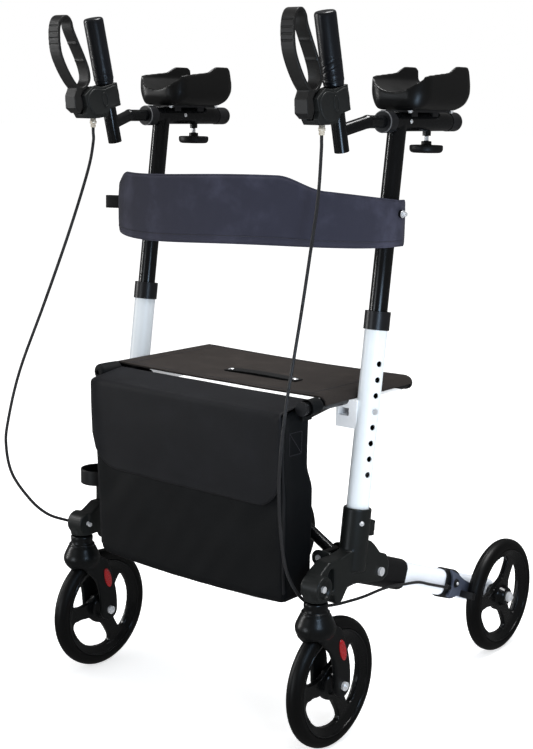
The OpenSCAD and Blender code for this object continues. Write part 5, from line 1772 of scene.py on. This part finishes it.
@dataclass
class BackrestBand:
    """Padded band bowed forward between the posts."""

    half: float = 258.1
    bow: float = 193.5
    middle_y: float = 127.35
    low_z: float = 758.5
    tall: float = 97.5
    short: float = 65.0
    shoulder: float = 12.0
    wave: float = 4.0
    thick: float = 7.0
    tail: float = 14.0
    keep: float = 0.512
    places: list[tuple[Vector, Vector]] = field(default_factory=list)

    def ease(self, x: float) -> float:
        """Share of the taper from the tall middle to the low ends."""
        f = clamp((abs(x) - 150.0) / 60.0)
        return f * f * (3 - 2 * f)

    def line(self) -> list[tuple[Vector, Vector]]:
        """The band's middle line as places, and the outward way at each."""
        found = [(Vector((-self.half, self.middle_y + self.tail, 0)), Vector((-1, 0, 0)))]
        for i in range(121):
            u = math.pi + math.pi * i / 120
            out = Vector((math.cos(u) / self.half, math.sin(u) / self.bow, 0)).normalized()
            found.append((Vector((self.half * math.cos(u), self.middle_y + self.bow * math.sin(u), 0)), out))
        found.append((Vector((self.half, self.middle_y + self.tail, 0)), Vector((1, 0, 0))))
        return found

    def heights(self, x: float) -> tuple[float, float]:
        """The band's lower and upper edge at a place."""
        wave = self.wave * math.sin(math.pi * x / self.half)
        wing = min(1.0, 1.72 * math.sqrt(max(0.0, 1.0 - (x / self.half) ** 2)))
        short = self.short + self.shoulder * wing
        return self.low_z + wave, self.low_z + wave + self.tall + (short - self.tall) * self.ease(x)

    def swell(self, i: int, v: float) -> float:
        """Half the band's thickness at a place along it and a share of its height."""
        u = math.pi * min(max(i - 1, 0), 120) / 120
        full = 0.7 + (0.3 + 0.45 * math.sin(u) ** 2) * math.sin(math.pi * v) ** 0.6
        seam = 1.0 - 0.35 * math.exp(-(((v - 0.90) / 0.02) ** 2))
        return self.thick / 2 * full * seam

    def skin(self, i: int, v: float, side: float, lift: float = 0.0) -> Vector:
        """A point of the band's cover.

        Args:
            i: Number of the place along the band.
            v: Share of the height there.
            side: 1 on the outer face and -1 on the inner.
            lift: How far the point stands off the cover, in millimetres.

        Returns:
            The point in metres.
        """
        place, out = self.places[i]
        low, high = self.heights(place.x)
        half = self.swell(i, v) + lift
        ripple = 0.5 * noise.noise(Vector((i * 0.11, v * 3.0, side * 5.0)))
        p = place + out * side * (half + ripple * math.sin(math.pi * v))
        return at(p.x, p.y, low + (high - low) * v)

    def build(self, shop: Workshop) -> None:
        """Makes the band with its piping, stitches and loop."""
        self.places = self.line()
        far = runs([p for p, _ in self.places])
        ups = [k / 16 for k in range(17)]
        rings, lengths = [], []
        for i in range(len(self.places)):
            rings.append([self.skin(i, v, 1) for v in reversed(ups)] + [self.skin(i, v, -1) for v in ups])
            low, high = self.heights(self.places[i][0].x)
            round_it = (*reversed(ups), *ups)
            lengths.append([(far[i] / 1000.0, (low + (high - low) * v) / 1000.0) for v in round_it])
        made = piece_of("backrest_band_cover", lofted("backrest_band_cover", rings, lengths), BAND_CLOTH)
        shop.stand_for(made, "backrest_band")
        self.gather(made)
        last = len(self.places) - 1
        rims = [
            [self.skin(i, v, 0) + Vector((0, 0, d)) for i in range(last + 1)]
            for v, d in ((1.0, 0.0006), (0.0, -0.0006))
        ]
        piping = shop.pipe("band_piping", rims, 0.0021, BAND_CLOTH)
        self.gather(shop.carry(piping, "post_left"))
        rows = [[self.skin(i, v, 1, 0.1) for i in range(1, last)] for v in (0.90, 0.10)]
        seams = shop.sew("band_stitches", rows)
        self.gather(shop.carry(seams, "post_left"))
        self.loop_tab(shop)

    def loop_tab(self, shop: Workshop) -> None:
        """Sews a loop of webbing on the band's left bend."""
        root, out = self.places[14]
        along = Vector((-out.y, out.x, 0.0))
        half = [(-4, 3), (8, 3.2), (20, 3.6), (30, 3.2), (35, 1.6)]
        shape = [*half, (36, 0), *((p, -q) for p, q in reversed(half))]
        line = smooth_path([root + out * p + along * q for p, q in shape], 4)
        far, count = runs(line), len(line) - 1

        def place(u: float, v: float) -> Vector:
            """The loop's point at two shares of its length and width."""
            p = line[round(u * count)]
            return at(p.x, p.y, 787.0 + 21.0 * v)

        mesh = gridded("band_loop", place, lambda u, v: (far[round(u * count)] / 1000.0, 0.021 * v), count, 6)
        made = thickened(piece_of("band_loop", mesh, WEBBING), 0.0016, 0.0)
        outward(made.data)
        self.gather(shop.carry(made, "post_left"))

    def gather(self, made: Object) -> Object:
        """Gives a piece its own copy of its mesh."""
        at(-POST_X, 0, 0)
        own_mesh(made)
        return made


def main() -> None:
    """Builds the looks in order."""
    logging.basicConfig(level=logging.INFO, format="%(name)s: %(message)s")
    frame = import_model()
    shop = Workshop(frame)
    studio = Studio()
    studio.camera()
    BrakeCables().build(shop)
    Wheels().build(shop)
    SideFrames().build(shop)
    Handles().build(shop)
    Seat().build(shop)
    StorageBag().build(shop)
    BackrestBand().build(shop)
    studio.floor()
    studio.light()


if __name__ == "__main__":
    main()
